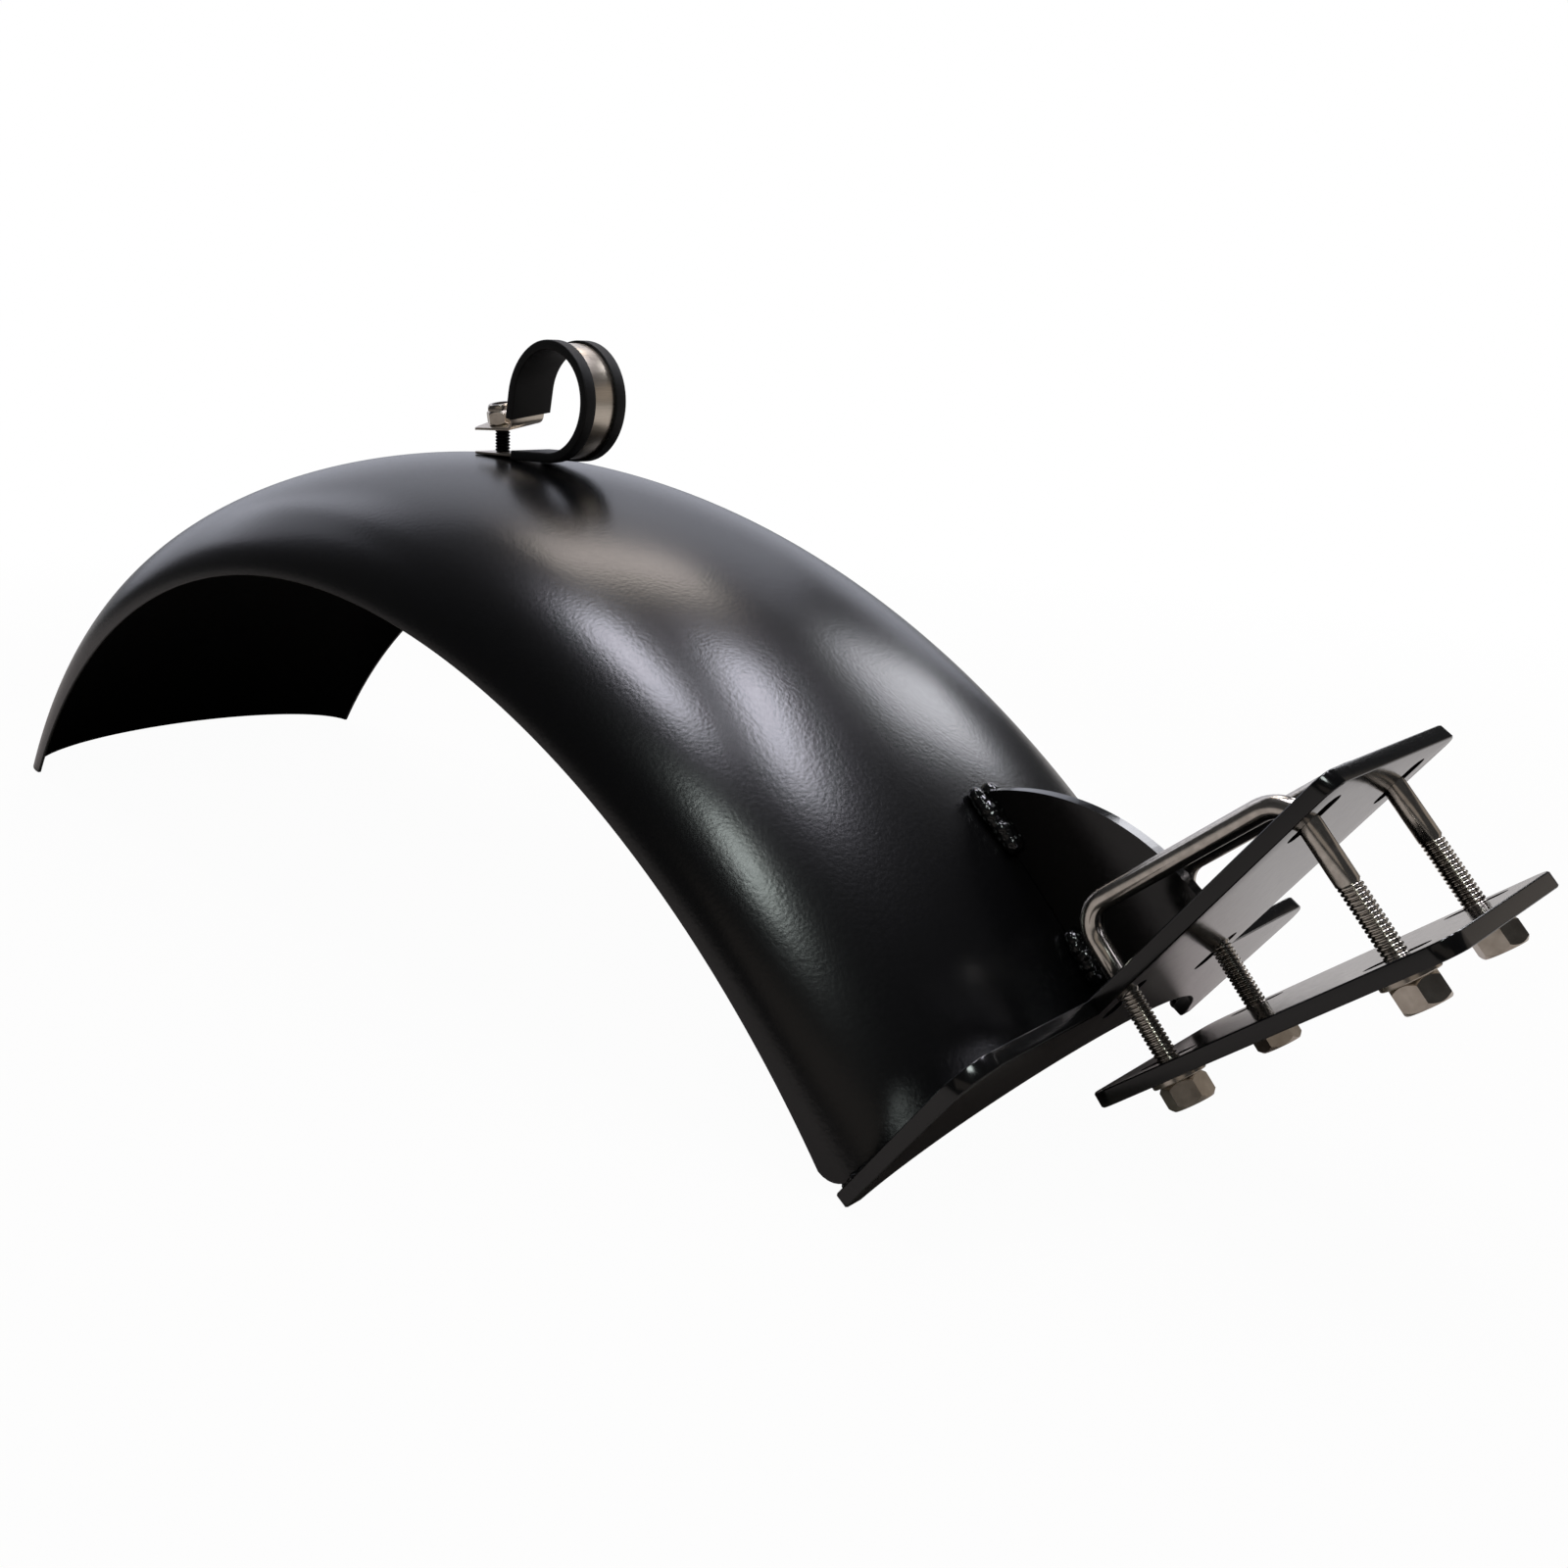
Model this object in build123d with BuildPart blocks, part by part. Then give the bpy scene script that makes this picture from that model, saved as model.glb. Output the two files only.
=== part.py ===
from build123d import *
import os
from math import acos, cos, degrees, hypot, radians, sin, sqrt

# Motorcycle rear fender with a bolt-on clamp bracket.
# X points forward to the bracket, Y to the left and Z up.
# The fender stands on its tail and on the plate's tips.

# Fender shell: a rounded section rolled on two tangent arcs, its tail cut level through the skirts' tips
fender_width = 190.0
section_depth = 44.5
sheet = 1.6
front_radius = 381.0
tail_radius = 348.0
tail_sweep = 61.0
tail_trim = 2.0
front_sweep = 46.0
front_trim = 10.0
join_lean = 5.4
front_corner_radius = 8.0

# Mounting plate: crescent across the front end, with a slotted tongue
plate_angle = 56.6
plate_thickness = 4.5
plate_overhang = 2.0
wing_reach = 22.4
wing_corner_radius = 12.0
wheel_arch_drop = 47.0
wheel_arch_depth = 43.0
wheel_arch_inset = 3.0
tongue_length = 90.5
tongue_width = 78.0
tongue_corner_radius = 5.0
tongue_root_radius = 3.0
edge_chamfer = 0.4

# Gusset between crown and tongue
gusset_thickness = 4.5
gusset_top_sweep = 34.0
gusset_foot = 47.5
gusset_front_height = 12.0
gusset_bulge_foot = 43.0
gusset_bulge_height = 46.0
weld_gap = 0.2

# Weld beads
bead_radius = 3.5
bead_rise = 2.0
bead_stand_off = 1.2
upper_bead_sweep = (34.4, 37.0)
lower_bead_sweep = (42.0, 43.7)
plate_bead_radius = 2.2
plate_bead_insets = (17.0, 8.0, 2.5)

# U-bolts, clamp plate and hardware
rod_diameter = 6.2
bend_radius = 9.0
leg_spacing = 68.0
leg_offset = 26.8
bight_height = 44.3
clamp_tilt = 14.0
rear_crossing = 25.7
rear_gap = 18.9
slot_clearance = 0.8
slot_length = 17.5
tongue_slot_rear = 23.4
tongue_slot_pitch = 74.0
clamp_length = 108.0
clamp_width = 75.0
clamp_set_back = 2.2
clamp_thickness = 4.5
clamp_corner_radius = 7.0
washer_diameter = 15.0
washer_thickness = 1.5
nut_across_flats = 11.6
nut_height = 7.0
nut_chamfer = 0.9
washer_clearance = 0.4
thread_clearance = 0.1
nut_face_turn = -64.5
nut_corner_turn = -34.5
rod_end_chamfer = 0.6

# Rubber-lined pipe clip on the crown
clip_lean = -1.0
clip_seat_gap = 0.1
clip_bore_radius = 19.0
lining = 1.6
band_thickness = 1.0
band_width = 16.5
lip_height = 1.1
lip_cover = 3.0
rubber_width = 20.6
loop_forward = 51.1
loop_end_angle = 170.0
ear_gap = 10.2
ear_bend_radius = 3.0
ear_reach = 9.5
bolt_forward = 13.3
rubber_start = 30.7
clip_bolt_diameter = 6.0
bolt_hole_clearance = 0.6
bolt_head_flats = 10.0
bolt_head_height = 4.2
bolt_end = 1.6
clip_washer_diameter = 12.5
clip_washer_thickness = 1.2
clip_nut_flats = 11.0
clip_nut_height = 8.0
clip_nut_turn = 30.0
inner_seat_gap = 0.5

half_width = fender_width / 2


def polar(angle, radius):
    """Side-view offset (x, z) at an angle from upright, positive forward."""
    return radius * sin(radians(angle)), radius * cos(radians(angle))


def plus(point, offset):
    """Sum of two side-view points."""
    return point[0] + offset[0], point[1] + offset[1]


def minus(point, offset):
    """Difference of two side-view points."""
    return point[0] - offset[0], point[1] - offset[1]


def depth_at(y):
    """How far the outer section lies below the crown at a lateral place."""
    return section_depth * (1 - sqrt(1 - (y / half_width) ** 2))


# Side-view layout with the arcs' joint at x = 0 and the floor at z = 0
tail_foot = polar(tail_sweep - join_lean, tail_radius - section_depth)
join_height = polar(join_lean, tail_radius)[1] - tail_foot[1]
join_point = (0.0, join_height)
tail_centre = minus(join_point, polar(join_lean, tail_radius))
front_centre = minus(join_point, polar(join_lean, front_radius))
plate_root = plus(front_centre, polar(join_lean + front_sweep, front_radius))
plate_along = (cos(radians(plate_angle)), sin(radians(plate_angle)))
plate_up = (-plate_along[1], plate_along[0])
tip_place = -plate_root[1] / plate_along[1]

# Clamp frame: origin on the clamp plate's top face amid the four legs, z up along the legs
clamp_angle = plate_angle - clamp_tilt
clamp_along = (cos(radians(clamp_angle)), sin(radians(clamp_angle)))
clamp_up = (-clamp_along[1], clamp_along[0])
rear_leg_foot = (
    plate_root[0] + rear_crossing * plate_along[0] - rear_gap * clamp_up[0],
    plate_root[1] + rear_crossing * plate_along[1] - rear_gap * clamp_up[1],
)
clamp_middle = (
    rear_leg_foot[0] + leg_spacing / 2 * clamp_along[0],
    rear_leg_foot[1] + leg_spacing / 2 * clamp_along[1],
)

# The origin lies under the middle of the part's length
front_edge_depth = clamp_thickness - edge_chamfer
front_reach = clamp_length / 2 - clamp_set_back
foremost = clamp_middle[0] + front_reach * clamp_along[0] - front_edge_depth * clamp_up[0]
crown_end_angle = degrees(acos(-tail_centre[1] / tail_radius))
rearmost = tail_centre[0] - polar(crown_end_angle, tail_radius)[0]
shift = -(foremost + rearmost) / 2


def at(side_point, y=0.0):
    """Point in the part's frame from a side-view point."""
    return side_point[0] + shift, y, side_point[1]


def on_plate(along, up=0.0):
    """Side-view point from a place along the plate's underside and a height above it."""
    return (
        plate_root[0] + along * plate_along[0] + up * plate_up[0],
        plate_root[1] + along * plate_along[1] + up * plate_up[1],
    )


def plate_place(side_point):
    """Place along the plate and height above its underside of a side-view point."""
    dx, dz = minus(side_point, plate_root)
    return dx * plate_along[0] + dz * plate_along[1], dx * plate_up[0] + dz * plate_up[1]


def seam_place(y):
    """Place along the plate where the shell's outer face meets the plate's top, at a lateral place."""
    along, up = plate_place(front_centre)
    radius = front_radius - depth_at(y)
    return along + sqrt(radius**2 - (plate_thickness - up) ** 2)


def direction(side_vector):
    """Three-dimensional vector from a side-view vector."""
    return side_vector[0], 0, side_vector[1]


join_way = polar(join_lean + 90, 1)
join_plane = Plane(at(join_point), x_dir=(0, 1, 0), z_dir=direction(join_way))
front_axis = Axis(at(front_centre), (0, 1, 0))
tail_axis = Axis(at(tail_centre), (0, -1, 0))
plate_plane = Plane(at(plate_root), x_dir=direction(plate_along), z_dir=direction(plate_up))
plate_side = Plane(at(plate_root), x_dir=direction(plate_along), z_dir=(0, -1, 0))
clamp_plane = Plane(at(clamp_middle), x_dir=direction(clamp_along), z_dir=direction(clamp_up))

clip_out = polar(clip_lean, 1)
clip_tangent = (clip_out[1], -clip_out[0])
clip_seat = plus(tail_centre, polar(clip_lean, tail_radius + clip_seat_gap))
clip_side = Plane(at(clip_seat), x_dir=direction(clip_tangent), z_dir=(0, -1, 0))
bolt_foot = plus(clip_seat, (bolt_forward * clip_tangent[0], bolt_forward * clip_tangent[1]))
bolt_plane = Plane(at(bolt_foot), x_dir=direction(clip_tangent), z_dir=direction(clip_out))
crown_below_bolt = clip_seat_gap + tail_radius - sqrt(tail_radius**2 - bolt_forward**2)

# Rounding of the skirts' front corners, seen from the side in the plate's directions
arc_centre = plate_place(front_centre)
skirt_radius = front_radius - section_depth
corner_up = plate_thickness + front_corner_radius
corner_run = sqrt((skirt_radius + front_corner_radius) ** 2 - (corner_up - arc_centre[1]) ** 2)
corner_centre = (arc_centre[0] + corner_run, corner_up)
to_arc = minus(arc_centre, corner_centre)
to_arc = (to_arc[0] / hypot(*to_arc), to_arc[1] / hypot(*to_arc))
corner_foot = (corner_centre[0], plate_thickness)
corner_side = plus(corner_centre, (front_corner_radius * to_arc[0], front_corner_radius * to_arc[1]))
corner_tip = (seam_place(half_width) - front_corner_radius, plate_thickness)
to_tip = (to_arc[0], to_arc[1] - 1)
corner_reach = front_corner_radius / hypot(*to_tip)
corner_middle = plus(corner_centre, (corner_reach * to_tip[0], corner_reach * to_tip[1]))

# Fender shell
with BuildPart() as fender_shell:
    with BuildSketch(join_plane) as section:
        with Locations((0, -section_depth)):
            Ellipse(half_width, section_depth)
            Ellipse(half_width - sheet, section_depth - sheet, mode=Mode.SUBTRACT)
        with Locations((0, -section_depth)):
            Rectangle(fender_width, section_depth, align=(Align.CENTER, Align.MIN), mode=Mode.INTERSECT)
    revolve(axis=tail_axis, revolution_arc=join_lean + crown_end_angle + tail_trim)
    revolve(section.sketch, axis=front_axis, revolution_arc=front_sweep + front_trim)
    split(bisect_by=plate_plane.offset(plate_thickness), keep=Keep.TOP)
    split(bisect_by=Plane.XY, keep=Keep.TOP)
    with BuildSketch(plate_side):
        with BuildLine():
            Line(corner_foot, corner_tip)
            Line(corner_tip, corner_side)
            ThreePointArc(corner_side, corner_middle, corner_foot)
        make_face()
    extrude(amount=fender_width, both=True, mode=Mode.SUBTRACT)
    with BuildSketch(bolt_plane):
        Circle((clip_bolt_diameter + bolt_hole_clearance) / 2)
    extrude(amount=2 * sheet + crown_below_bolt, both=True, mode=Mode.SUBTRACT)
fender_shell.part.label = "fender_shell"

# Mounting plate
tongue_end = wing_reach + tongue_length
plate_half_width = half_width + plate_overhang
slot_width = rod_diameter + slot_clearance
with BuildPart() as mounting_plate:
    with BuildSketch(plate_plane) as plate_outline:
        with BuildLine():
            Polyline(
                (tip_place, -plate_half_width),
                (wing_reach, -plate_half_width),
                (wing_reach, -tongue_width / 2),
                (tongue_end, -tongue_width / 2),
                (tongue_end, tongue_width / 2),
                (wing_reach, tongue_width / 2),
                (wing_reach, plate_half_width),
                (tip_place, plate_half_width),
                close=True,
            )
        make_face()
        ends = plate_outline.vertices().group_by(Axis.X)
        fillet(ends[-1], radius=tongue_corner_radius)
        waist = plate_outline.vertices().filter_by(lambda v: abs(v.X - wing_reach) < 0.1)
        fillet(waist.filter_by(lambda v: abs(v.Y) > tongue_width), radius=wing_corner_radius)
        fillet(waist.filter_by(lambda v: abs(v.Y) < tongue_width), radius=tongue_root_radius)
        with Locations((-wheel_arch_drop, 0)):
            Ellipse(wheel_arch_depth, half_width - wheel_arch_inset, mode=Mode.SUBTRACT)
        with Locations((tongue_slot_rear + tongue_slot_pitch / 2, 0)):
            with GridLocations(tongue_slot_pitch, 2 * leg_offset, 2, 2):
                SlotOverall(slot_length, slot_width, mode=Mode.SUBTRACT)
    extrude(amount=plate_thickness)
    faces = mounting_plate.faces().sort_by(Axis(at(plate_root), direction(plate_up)))
    chamfer(faces[0].outer_wire().edges() + faces[-1].outer_wire().edges(), edge_chamfer)
mounting_plate.part.label = "mounting_plate"

# Gusset plate, its rear edge following the crown
gusset_top = plate_place(plus(front_centre, polar(join_lean + gusset_top_sweep, front_radius)))
with BuildPart() as gusset_plate:
    with BuildSketch(plate_side):
        with BuildLine():
            Line((-section_depth, plate_thickness), (gusset_foot, plate_thickness))
            Line((gusset_foot, plate_thickness), (gusset_foot, gusset_front_height))
            ThreePointArc(
                (gusset_foot, gusset_front_height),
                (gusset_bulge_foot, gusset_bulge_height),
                gusset_top,
            )
            Line(gusset_top, (-section_depth, gusset_top[1]))
            Line((-section_depth, gusset_top[1]), (-section_depth, plate_thickness))
        make_face()
        with Locations(arc_centre):
            Circle(front_radius + weld_gap, mode=Mode.SUBTRACT)
    extrude(amount=gusset_thickness / 2, both=True)
gusset_plate.part.label = "gusset_plate"

# Weld tacks along both sides of the gusset, seated on crown and web
sides = {"right": -1, "left": 1}
bead_y = -gusset_thickness / 2 - bead_stand_off
welds = {}
for level, (start, end) in {"upper": upper_bead_sweep, "lower": lower_bead_sweep}.items():
    bead_start = plus(front_centre, polar(join_lean + start, front_radius + bead_rise))
    bead_end = plus(front_centre, polar(join_lean + end, front_radius + bead_rise))
    bead_way = polar(join_lean + start + 90, 1)
    with BuildPart() as bead:
        with BuildSketch(Plane(at(bead_start, bead_y), x_dir=(0, 1, 0), z_dir=direction(bead_way))):
            Circle(bead_radius)
        revolve(axis=front_axis, revolution_arc=end - start)
        with Locations(at(bead_start, bead_y), at(bead_end, bead_y)):
            Sphere(bead_radius)
        split(bisect_by=Plane.XZ.offset(gusset_thickness / 2), keep=Keep.TOP)
        add(fender_shell.part, mode=Mode.SUBTRACT)
    welds[f"weld_gusset_{level}"] = bead.part

# Weld bead of the mounting plate on the shell's skirt, by the tip
seam = []
for inset in plate_bead_insets:
    seam_y = half_width - inset
    seam.append(at(on_plate(seam_place(seam_y), plate_thickness), -seam_y))
with BuildPart() as plate_bead:
    with BuildLine() as seam_line:
        ThreePointArc(*seam)
    with BuildSketch(Plane(seam_line.line @ 0, z_dir=seam_line.line % 0)):
        Circle(plate_bead_radius)
    sweep()
    with Locations(seam[0], seam[-1]):
        Sphere(plate_bead_radius)
    add(fender_shell.part, mode=Mode.SUBTRACT)
    add(mounting_plate.part, mode=Mode.SUBTRACT)
welds["weld_plate"] = plate_bead.part

# Each weld on the right has its mirror image on the left
paired_pieces = {}
for name, weld in welds.items():
    paired_pieces[f"{name}_right"] = weld
    paired_pieces[f"{name}_left"] = mirror(weld, about=Plane.XZ)

# Clamp plate
with BuildPart() as clamp_plate:
    with BuildSketch(clamp_plane):
        with Locations((-clamp_set_back, 0)):
            RectangleRounded(clamp_length, clamp_width, clamp_corner_radius)
        with GridLocations(leg_spacing, 2 * leg_offset, 2, 2):
            SlotOverall(slot_length, slot_width, mode=Mode.SUBTRACT)
    extrude(amount=-clamp_thickness)
    faces = clamp_plate.faces().sort_by(Axis(at(clamp_middle), direction(clamp_up)))
    chamfer(faces[0].outer_wire().edges() + faces[-1].outer_wire().edges(), edge_chamfer)
clamp_plate.part.label = "clamp_plate"

# U-bolts, square-bent, legs down through tongue and clamp plate to the nuts' lower faces
leg_depth = clamp_thickness + washer_thickness + nut_height
for side_name, side in sides.items():
    with BuildPart() as u_bolt:
        rod_plane = Plane(at(clamp_middle, side * leg_offset), direction(clamp_along), (0, -1, 0))
        with BuildLine(rod_plane) as rod_line:
            FilletPolyline(
                (-leg_spacing / 2, -leg_depth),
                (-leg_spacing / 2, bight_height),
                (leg_spacing / 2, bight_height),
                (leg_spacing / 2, -leg_depth),
                radius=bend_radius,
            )
        with BuildSketch(Plane(rod_line.line @ 0, z_dir=rod_line.line % 0)):
            Circle(rod_diameter / 2)
        sweep()
        rod_ends = u_bolt.faces().sort_by(Axis(at(clamp_middle), direction(clamp_up)))[0:2]
        chamfer(rod_ends.edges(), rod_end_chamfer)
    paired_pieces[f"u_bolt_{side_name}"] = u_bolt.part


def hex_blank(across_flats, bottom, top):
    """Turned blank that chamfers a hexagon's corners at both ends."""
    corner = across_flats / sqrt(3)
    with BuildPart() as blank:
        with BuildSketch(Plane.XZ):
            with BuildLine():
                Polyline(
                    (0, bottom),
                    (corner - 2 * nut_chamfer, bottom),
                    (corner, bottom + nut_chamfer),
                    (corner, top - nut_chamfer),
                    (corner - 2 * nut_chamfer, top),
                    (0, top),
                    close=True,
                )
            make_face()
        revolve(axis=Axis.Z)
    return blank.part


nut_blank = hex_blank(nut_across_flats, 0, nut_height)
head_blank = hex_blank(bolt_head_flats, -bolt_head_height, bolt_head_height)
clip_nut_blank = hex_blank(clip_nut_flats, 0, clip_nut_height)

# Washers and nuts under the clamp plate; the front nuts turn a flat outward, the rear ones a corner
washer_plane = clamp_plane.offset(-clamp_thickness)
for side_name, side in sides.items():
    for end_name, end in {"rear": -1, "front": 1}.items():
        leg = (end * leg_spacing / 2, side * leg_offset)
        with BuildPart() as washer:
            with BuildSketch(washer_plane):
                with Locations(leg):
                    Circle(washer_diameter / 2)
                    Circle((rod_diameter + washer_clearance) / 2, mode=Mode.SUBTRACT)
            extrude(amount=-washer_thickness)
        paired_pieces[f"clamp_washer_{end_name}_{side_name}"] = washer.part
        turn = -side * (nut_face_turn if end > 0 else nut_corner_turn)
        with BuildPart() as nut:
            with BuildSketch():
                RegularPolygon(nut_across_flats / 2, 6, major_radius=False, rotation=turn)
            extrude(amount=nut_height)
            add(nut_blank, mode=Mode.INTERSECT)
            Hole((rod_diameter + 2 * thread_clearance) / 2)
        nut_seat = washer_plane.from_local_coords((*leg, -washer_thickness - nut_height))
        nut_plane = Plane(nut_seat, direction(clamp_along), direction(clamp_up))
        paired_pieces[f"clamp_nut_{end_name}_{side_name}"] = nut_plane * nut.part

# Pipe clip, drawn from the side: lower ear, loop, run down to the bend, upper ear
band_level = band_thickness / 2
band_radius = clip_bore_radius + lining + band_thickness / 2
loop_centre = (loop_forward, band_level + band_radius)
ear_level = band_level + ear_gap + band_thickness
ear_end = bolt_forward - ear_reach
run_turn = radians(loop_end_angle - 90)
run_way = (-cos(run_turn), -sin(run_turn))
run_in = (sin(run_turn), -cos(run_turn))
loop_end_height = loop_centre[1] + band_radius * sin(radians(loop_end_angle))
bend_top = ear_level + ear_bend_radius * (1 - cos(run_turn))
end_run = (loop_end_height - bend_top) / sin(run_turn)


def loop_end(inset):
    """Where the loop's arc passes into the run, inset from the band's middle."""
    radius = band_radius - inset
    turn = radians(loop_end_angle)
    return plus(loop_centre, (radius * cos(turn), radius * sin(turn)))


def run_end(inset):
    """Lower end of the run."""
    return plus(loop_end(inset), (end_run * run_way[0], end_run * run_way[1]))


def loop_trace(start, inset, width):
    """Side view of a strip round the loop, from a place on the lower side to the run's end."""
    with BuildSketch(clip_side) as strip:
        with BuildLine():
            Line((start, band_level + inset), (loop_forward, band_level + inset))
            CenterArc(loop_centre, band_radius - inset, -90, 90 + loop_end_angle)
            Line(loop_end(inset), run_end(inset))
        trace(line_width=width)
    return strip.sketch


bend_centre = minus(run_end(0), (ear_bend_radius * run_in[0], ear_bend_radius * run_in[1]))
with BuildPart() as clip_band:
    with BuildSketch(clip_side):
        with BuildLine():
            Line((ear_end, band_level), (loop_forward, band_level))
            CenterArc(loop_centre, band_radius, -90, 90 + loop_end_angle)
            Line(loop_end(0), run_end(0))
            CenterArc(bend_centre, ear_bend_radius, loop_end_angle - 180, 90 - loop_end_angle)
            Line((bend_centre[0], ear_level), (ear_end, ear_level))
        trace(line_width=band_thickness)
    extrude(amount=band_width / 2, both=True)
    with BuildSketch(bolt_plane):
        Circle((clip_bolt_diameter + bolt_hole_clearance) / 2)
    extrude(amount=ear_level + band_thickness, mode=Mode.SUBTRACT)
clip_band.part.label = "clip_band"

# Rubber channel: lining inside the loop, lips folded over the band's edges
channel = loop_trace(rubber_start, (lining - lip_height) / 2, lining + band_thickness + lip_height)
window = loop_trace(rubber_start, -(band_thickness + lip_height) / 2, lip_height)
with BuildPart() as clip_rubber:
    extrude(channel, amount=rubber_width / 2, both=True)
    add(clip_band.part, mode=Mode.SUBTRACT)
    extrude(window, amount=band_width / 2 - lip_cover, both=True, mode=Mode.SUBTRACT)
clip_rubber.part.label = "clip_rubber"

# Bolt up through the crown and the ears: head and washer inside the shell, lock nut on top
nut_level = ear_level + band_thickness / 2
washer_level = -crown_below_bolt - sheet - inner_seat_gap
head_level = washer_level - clip_washer_thickness
with BuildPart() as hex_bolt:
    with BuildSketch():
        RegularPolygon(bolt_head_flats / 2, 6, major_radius=False)
    extrude(amount=-bolt_head_height)
    add(head_blank, mode=Mode.INTERSECT)
    with BuildSketch():
        Circle(clip_bolt_diameter / 2)
    extrude(amount=nut_level + clip_nut_height - bolt_end - head_level)
    chamfer(hex_bolt.faces().sort_by(Axis.Z)[-1].edges(), rod_end_chamfer)
clip_bolt = bolt_plane.offset(head_level) * hex_bolt.part
clip_bolt.label = "clip_bolt"

with BuildPart() as clip_washer:
    with BuildSketch(bolt_plane.offset(washer_level)):
        Circle(clip_washer_diameter / 2)
        Circle((clip_bolt_diameter + washer_clearance) / 2, mode=Mode.SUBTRACT)
    extrude(amount=-clip_washer_thickness)
clip_washer.part.label = "clip_washer"

with BuildPart() as hex_nut:
    with BuildSketch():
        RegularPolygon(clip_nut_flats / 2, 6, major_radius=False)
    extrude(amount=clip_nut_height)
    add(clip_nut_blank, mode=Mode.INTERSECT)
    Hole((clip_bolt_diameter + 2 * thread_clearance) / 2)
clip_nut = bolt_plane.offset(nut_level) * Rot(0, 0, clip_nut_turn) * hex_nut.part
clip_nut.label = "clip_nut"

single_pieces = [
    fender_shell.part,
    mounting_plate.part,
    gusset_plate.part,
    clamp_plate.part,
    clip_band.part,
    clip_rubber.part,
    clip_bolt,
    clip_washer.part,
    clip_nut,
]
for name, piece in paired_pieces.items():
    piece.label = name

os.makedirs("parts", exist_ok=True)
for piece in [*single_pieces, *paired_pieces.values()]:
    export_step(piece, f"parts/{piece.label}.step")
    print(piece.label, round(piece.volume, 1))
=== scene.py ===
# %% [markdown]
# # A motorcycle rear fender, dressed for its portrait
# The solids of the fender come in as a fixed frame. This lesson gives them their paint, steel and
# rubber, and rebuilds the pieces whose small forms the frame leaves plain, such as threads and welds.

# %% Load the frame
import bpy
import bmesh
from math import acos, atan2, cos, degrees, hypot, pi, radians, sin, sqrt, tan
from mathutils import Matrix, Vector


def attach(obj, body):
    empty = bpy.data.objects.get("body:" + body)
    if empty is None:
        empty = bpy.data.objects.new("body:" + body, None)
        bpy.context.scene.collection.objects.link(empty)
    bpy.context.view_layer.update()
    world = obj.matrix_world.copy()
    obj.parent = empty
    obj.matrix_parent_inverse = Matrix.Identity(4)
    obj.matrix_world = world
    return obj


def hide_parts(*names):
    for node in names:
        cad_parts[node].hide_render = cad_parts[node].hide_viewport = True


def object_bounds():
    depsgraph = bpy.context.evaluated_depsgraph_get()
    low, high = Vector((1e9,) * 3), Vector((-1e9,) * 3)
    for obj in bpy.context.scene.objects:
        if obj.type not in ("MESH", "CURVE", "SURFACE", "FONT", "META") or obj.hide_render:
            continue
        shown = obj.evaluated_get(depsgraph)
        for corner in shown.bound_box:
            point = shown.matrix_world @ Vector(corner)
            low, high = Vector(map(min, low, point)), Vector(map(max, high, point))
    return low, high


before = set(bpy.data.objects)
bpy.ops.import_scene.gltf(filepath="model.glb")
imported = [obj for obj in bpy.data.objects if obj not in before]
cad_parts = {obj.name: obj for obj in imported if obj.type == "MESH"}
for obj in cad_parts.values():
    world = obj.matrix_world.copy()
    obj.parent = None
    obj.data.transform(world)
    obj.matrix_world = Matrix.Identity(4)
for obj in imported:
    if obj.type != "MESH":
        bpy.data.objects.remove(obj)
cad_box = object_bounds()


def rounded(point, digits=2):
    """Coordinates cut short for a printed line."""
    return tuple(round(v, digits) for v in point)


print("nodes", len(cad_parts), "box", [rounded(corner, 4) for corner in cad_box])

# %% [markdown]
# ## Sizes and places
# The object's sizes are in millimetres and degrees, as a maker would note them down, and each stands
# where its piece is made. One factor turns them to Blender's metres when a vertex is made; only the
# stage is laid out in metres. The fender is the same on both sides, so its lines are worked out in the
# side view, where a point is (forward, up).

# %% Sizes of the shell and the mounting plate
MM = 0.001
HALF_WIDTH = 95.0
SECTION_DEPTH = 44.5
SHEET = 1.6
FRONT_RADIUS = 381.0
TAIL_RADIUS = 348.0
TAIL_SWEEP = 61.0
FRONT_SWEEP = 46.0
JOIN_LEAN = 5.4
CORNER_RADIUS = 8.0
PLATE_ANGLE = 56.6
PLATE_THICKNESS = 4.5


# %% Places of the shell and the mounting plate
def polar(angle, radius):
    """Side-view offset at an angle from upright, forward positive."""
    return Vector((radius * sin(radians(angle)), radius * cos(radians(angle))))


def slope(angle):
    """Side-view direction at an angle above the forward axis, and the direction square to it."""
    along = Vector((cos(radians(angle)), sin(radians(angle))))
    return along, Vector((-along[1], along[0]))


# the tail is cut level through its skirts' tips, so the arc's centre lies as far below the floor as
# the tips lie above the centre
centre_depth = polar(TAIL_SWEEP - JOIN_LEAN, TAIL_RADIUS - SECTION_DEPTH)[1]
# the crown's tail end is the frame's rearmost point, which places the arcs along X
tail_centre = Vector((cad_box[0][0] / MM + sqrt(TAIL_RADIUS**2 - centre_depth**2), -centre_depth))
join = tail_centre + polar(JOIN_LEAN, TAIL_RADIUS)
front_centre = join - polar(JOIN_LEAN, FRONT_RADIUS)
plate_root = front_centre + polar(JOIN_LEAN + FRONT_SWEEP, FRONT_RADIUS)
plate_along, plate_up = slope(PLATE_ANGLE)
plate_axes = (plate_root, plate_along, plate_up)
print("arcs join at", rounded(join), "plate root", rounded(plate_root))

# %% [markdown]
# ## Finishes
# Each finish is a small tree of shader nodes. One helper turns a paint chart's hex colour into the
# linear numbers that Blender mixes, and one adds a node with its settings and links. Two more start a
# material, whose patterns are measured on the piece itself so that they keep their real size, and end
# it with what all finishes share.

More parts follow.
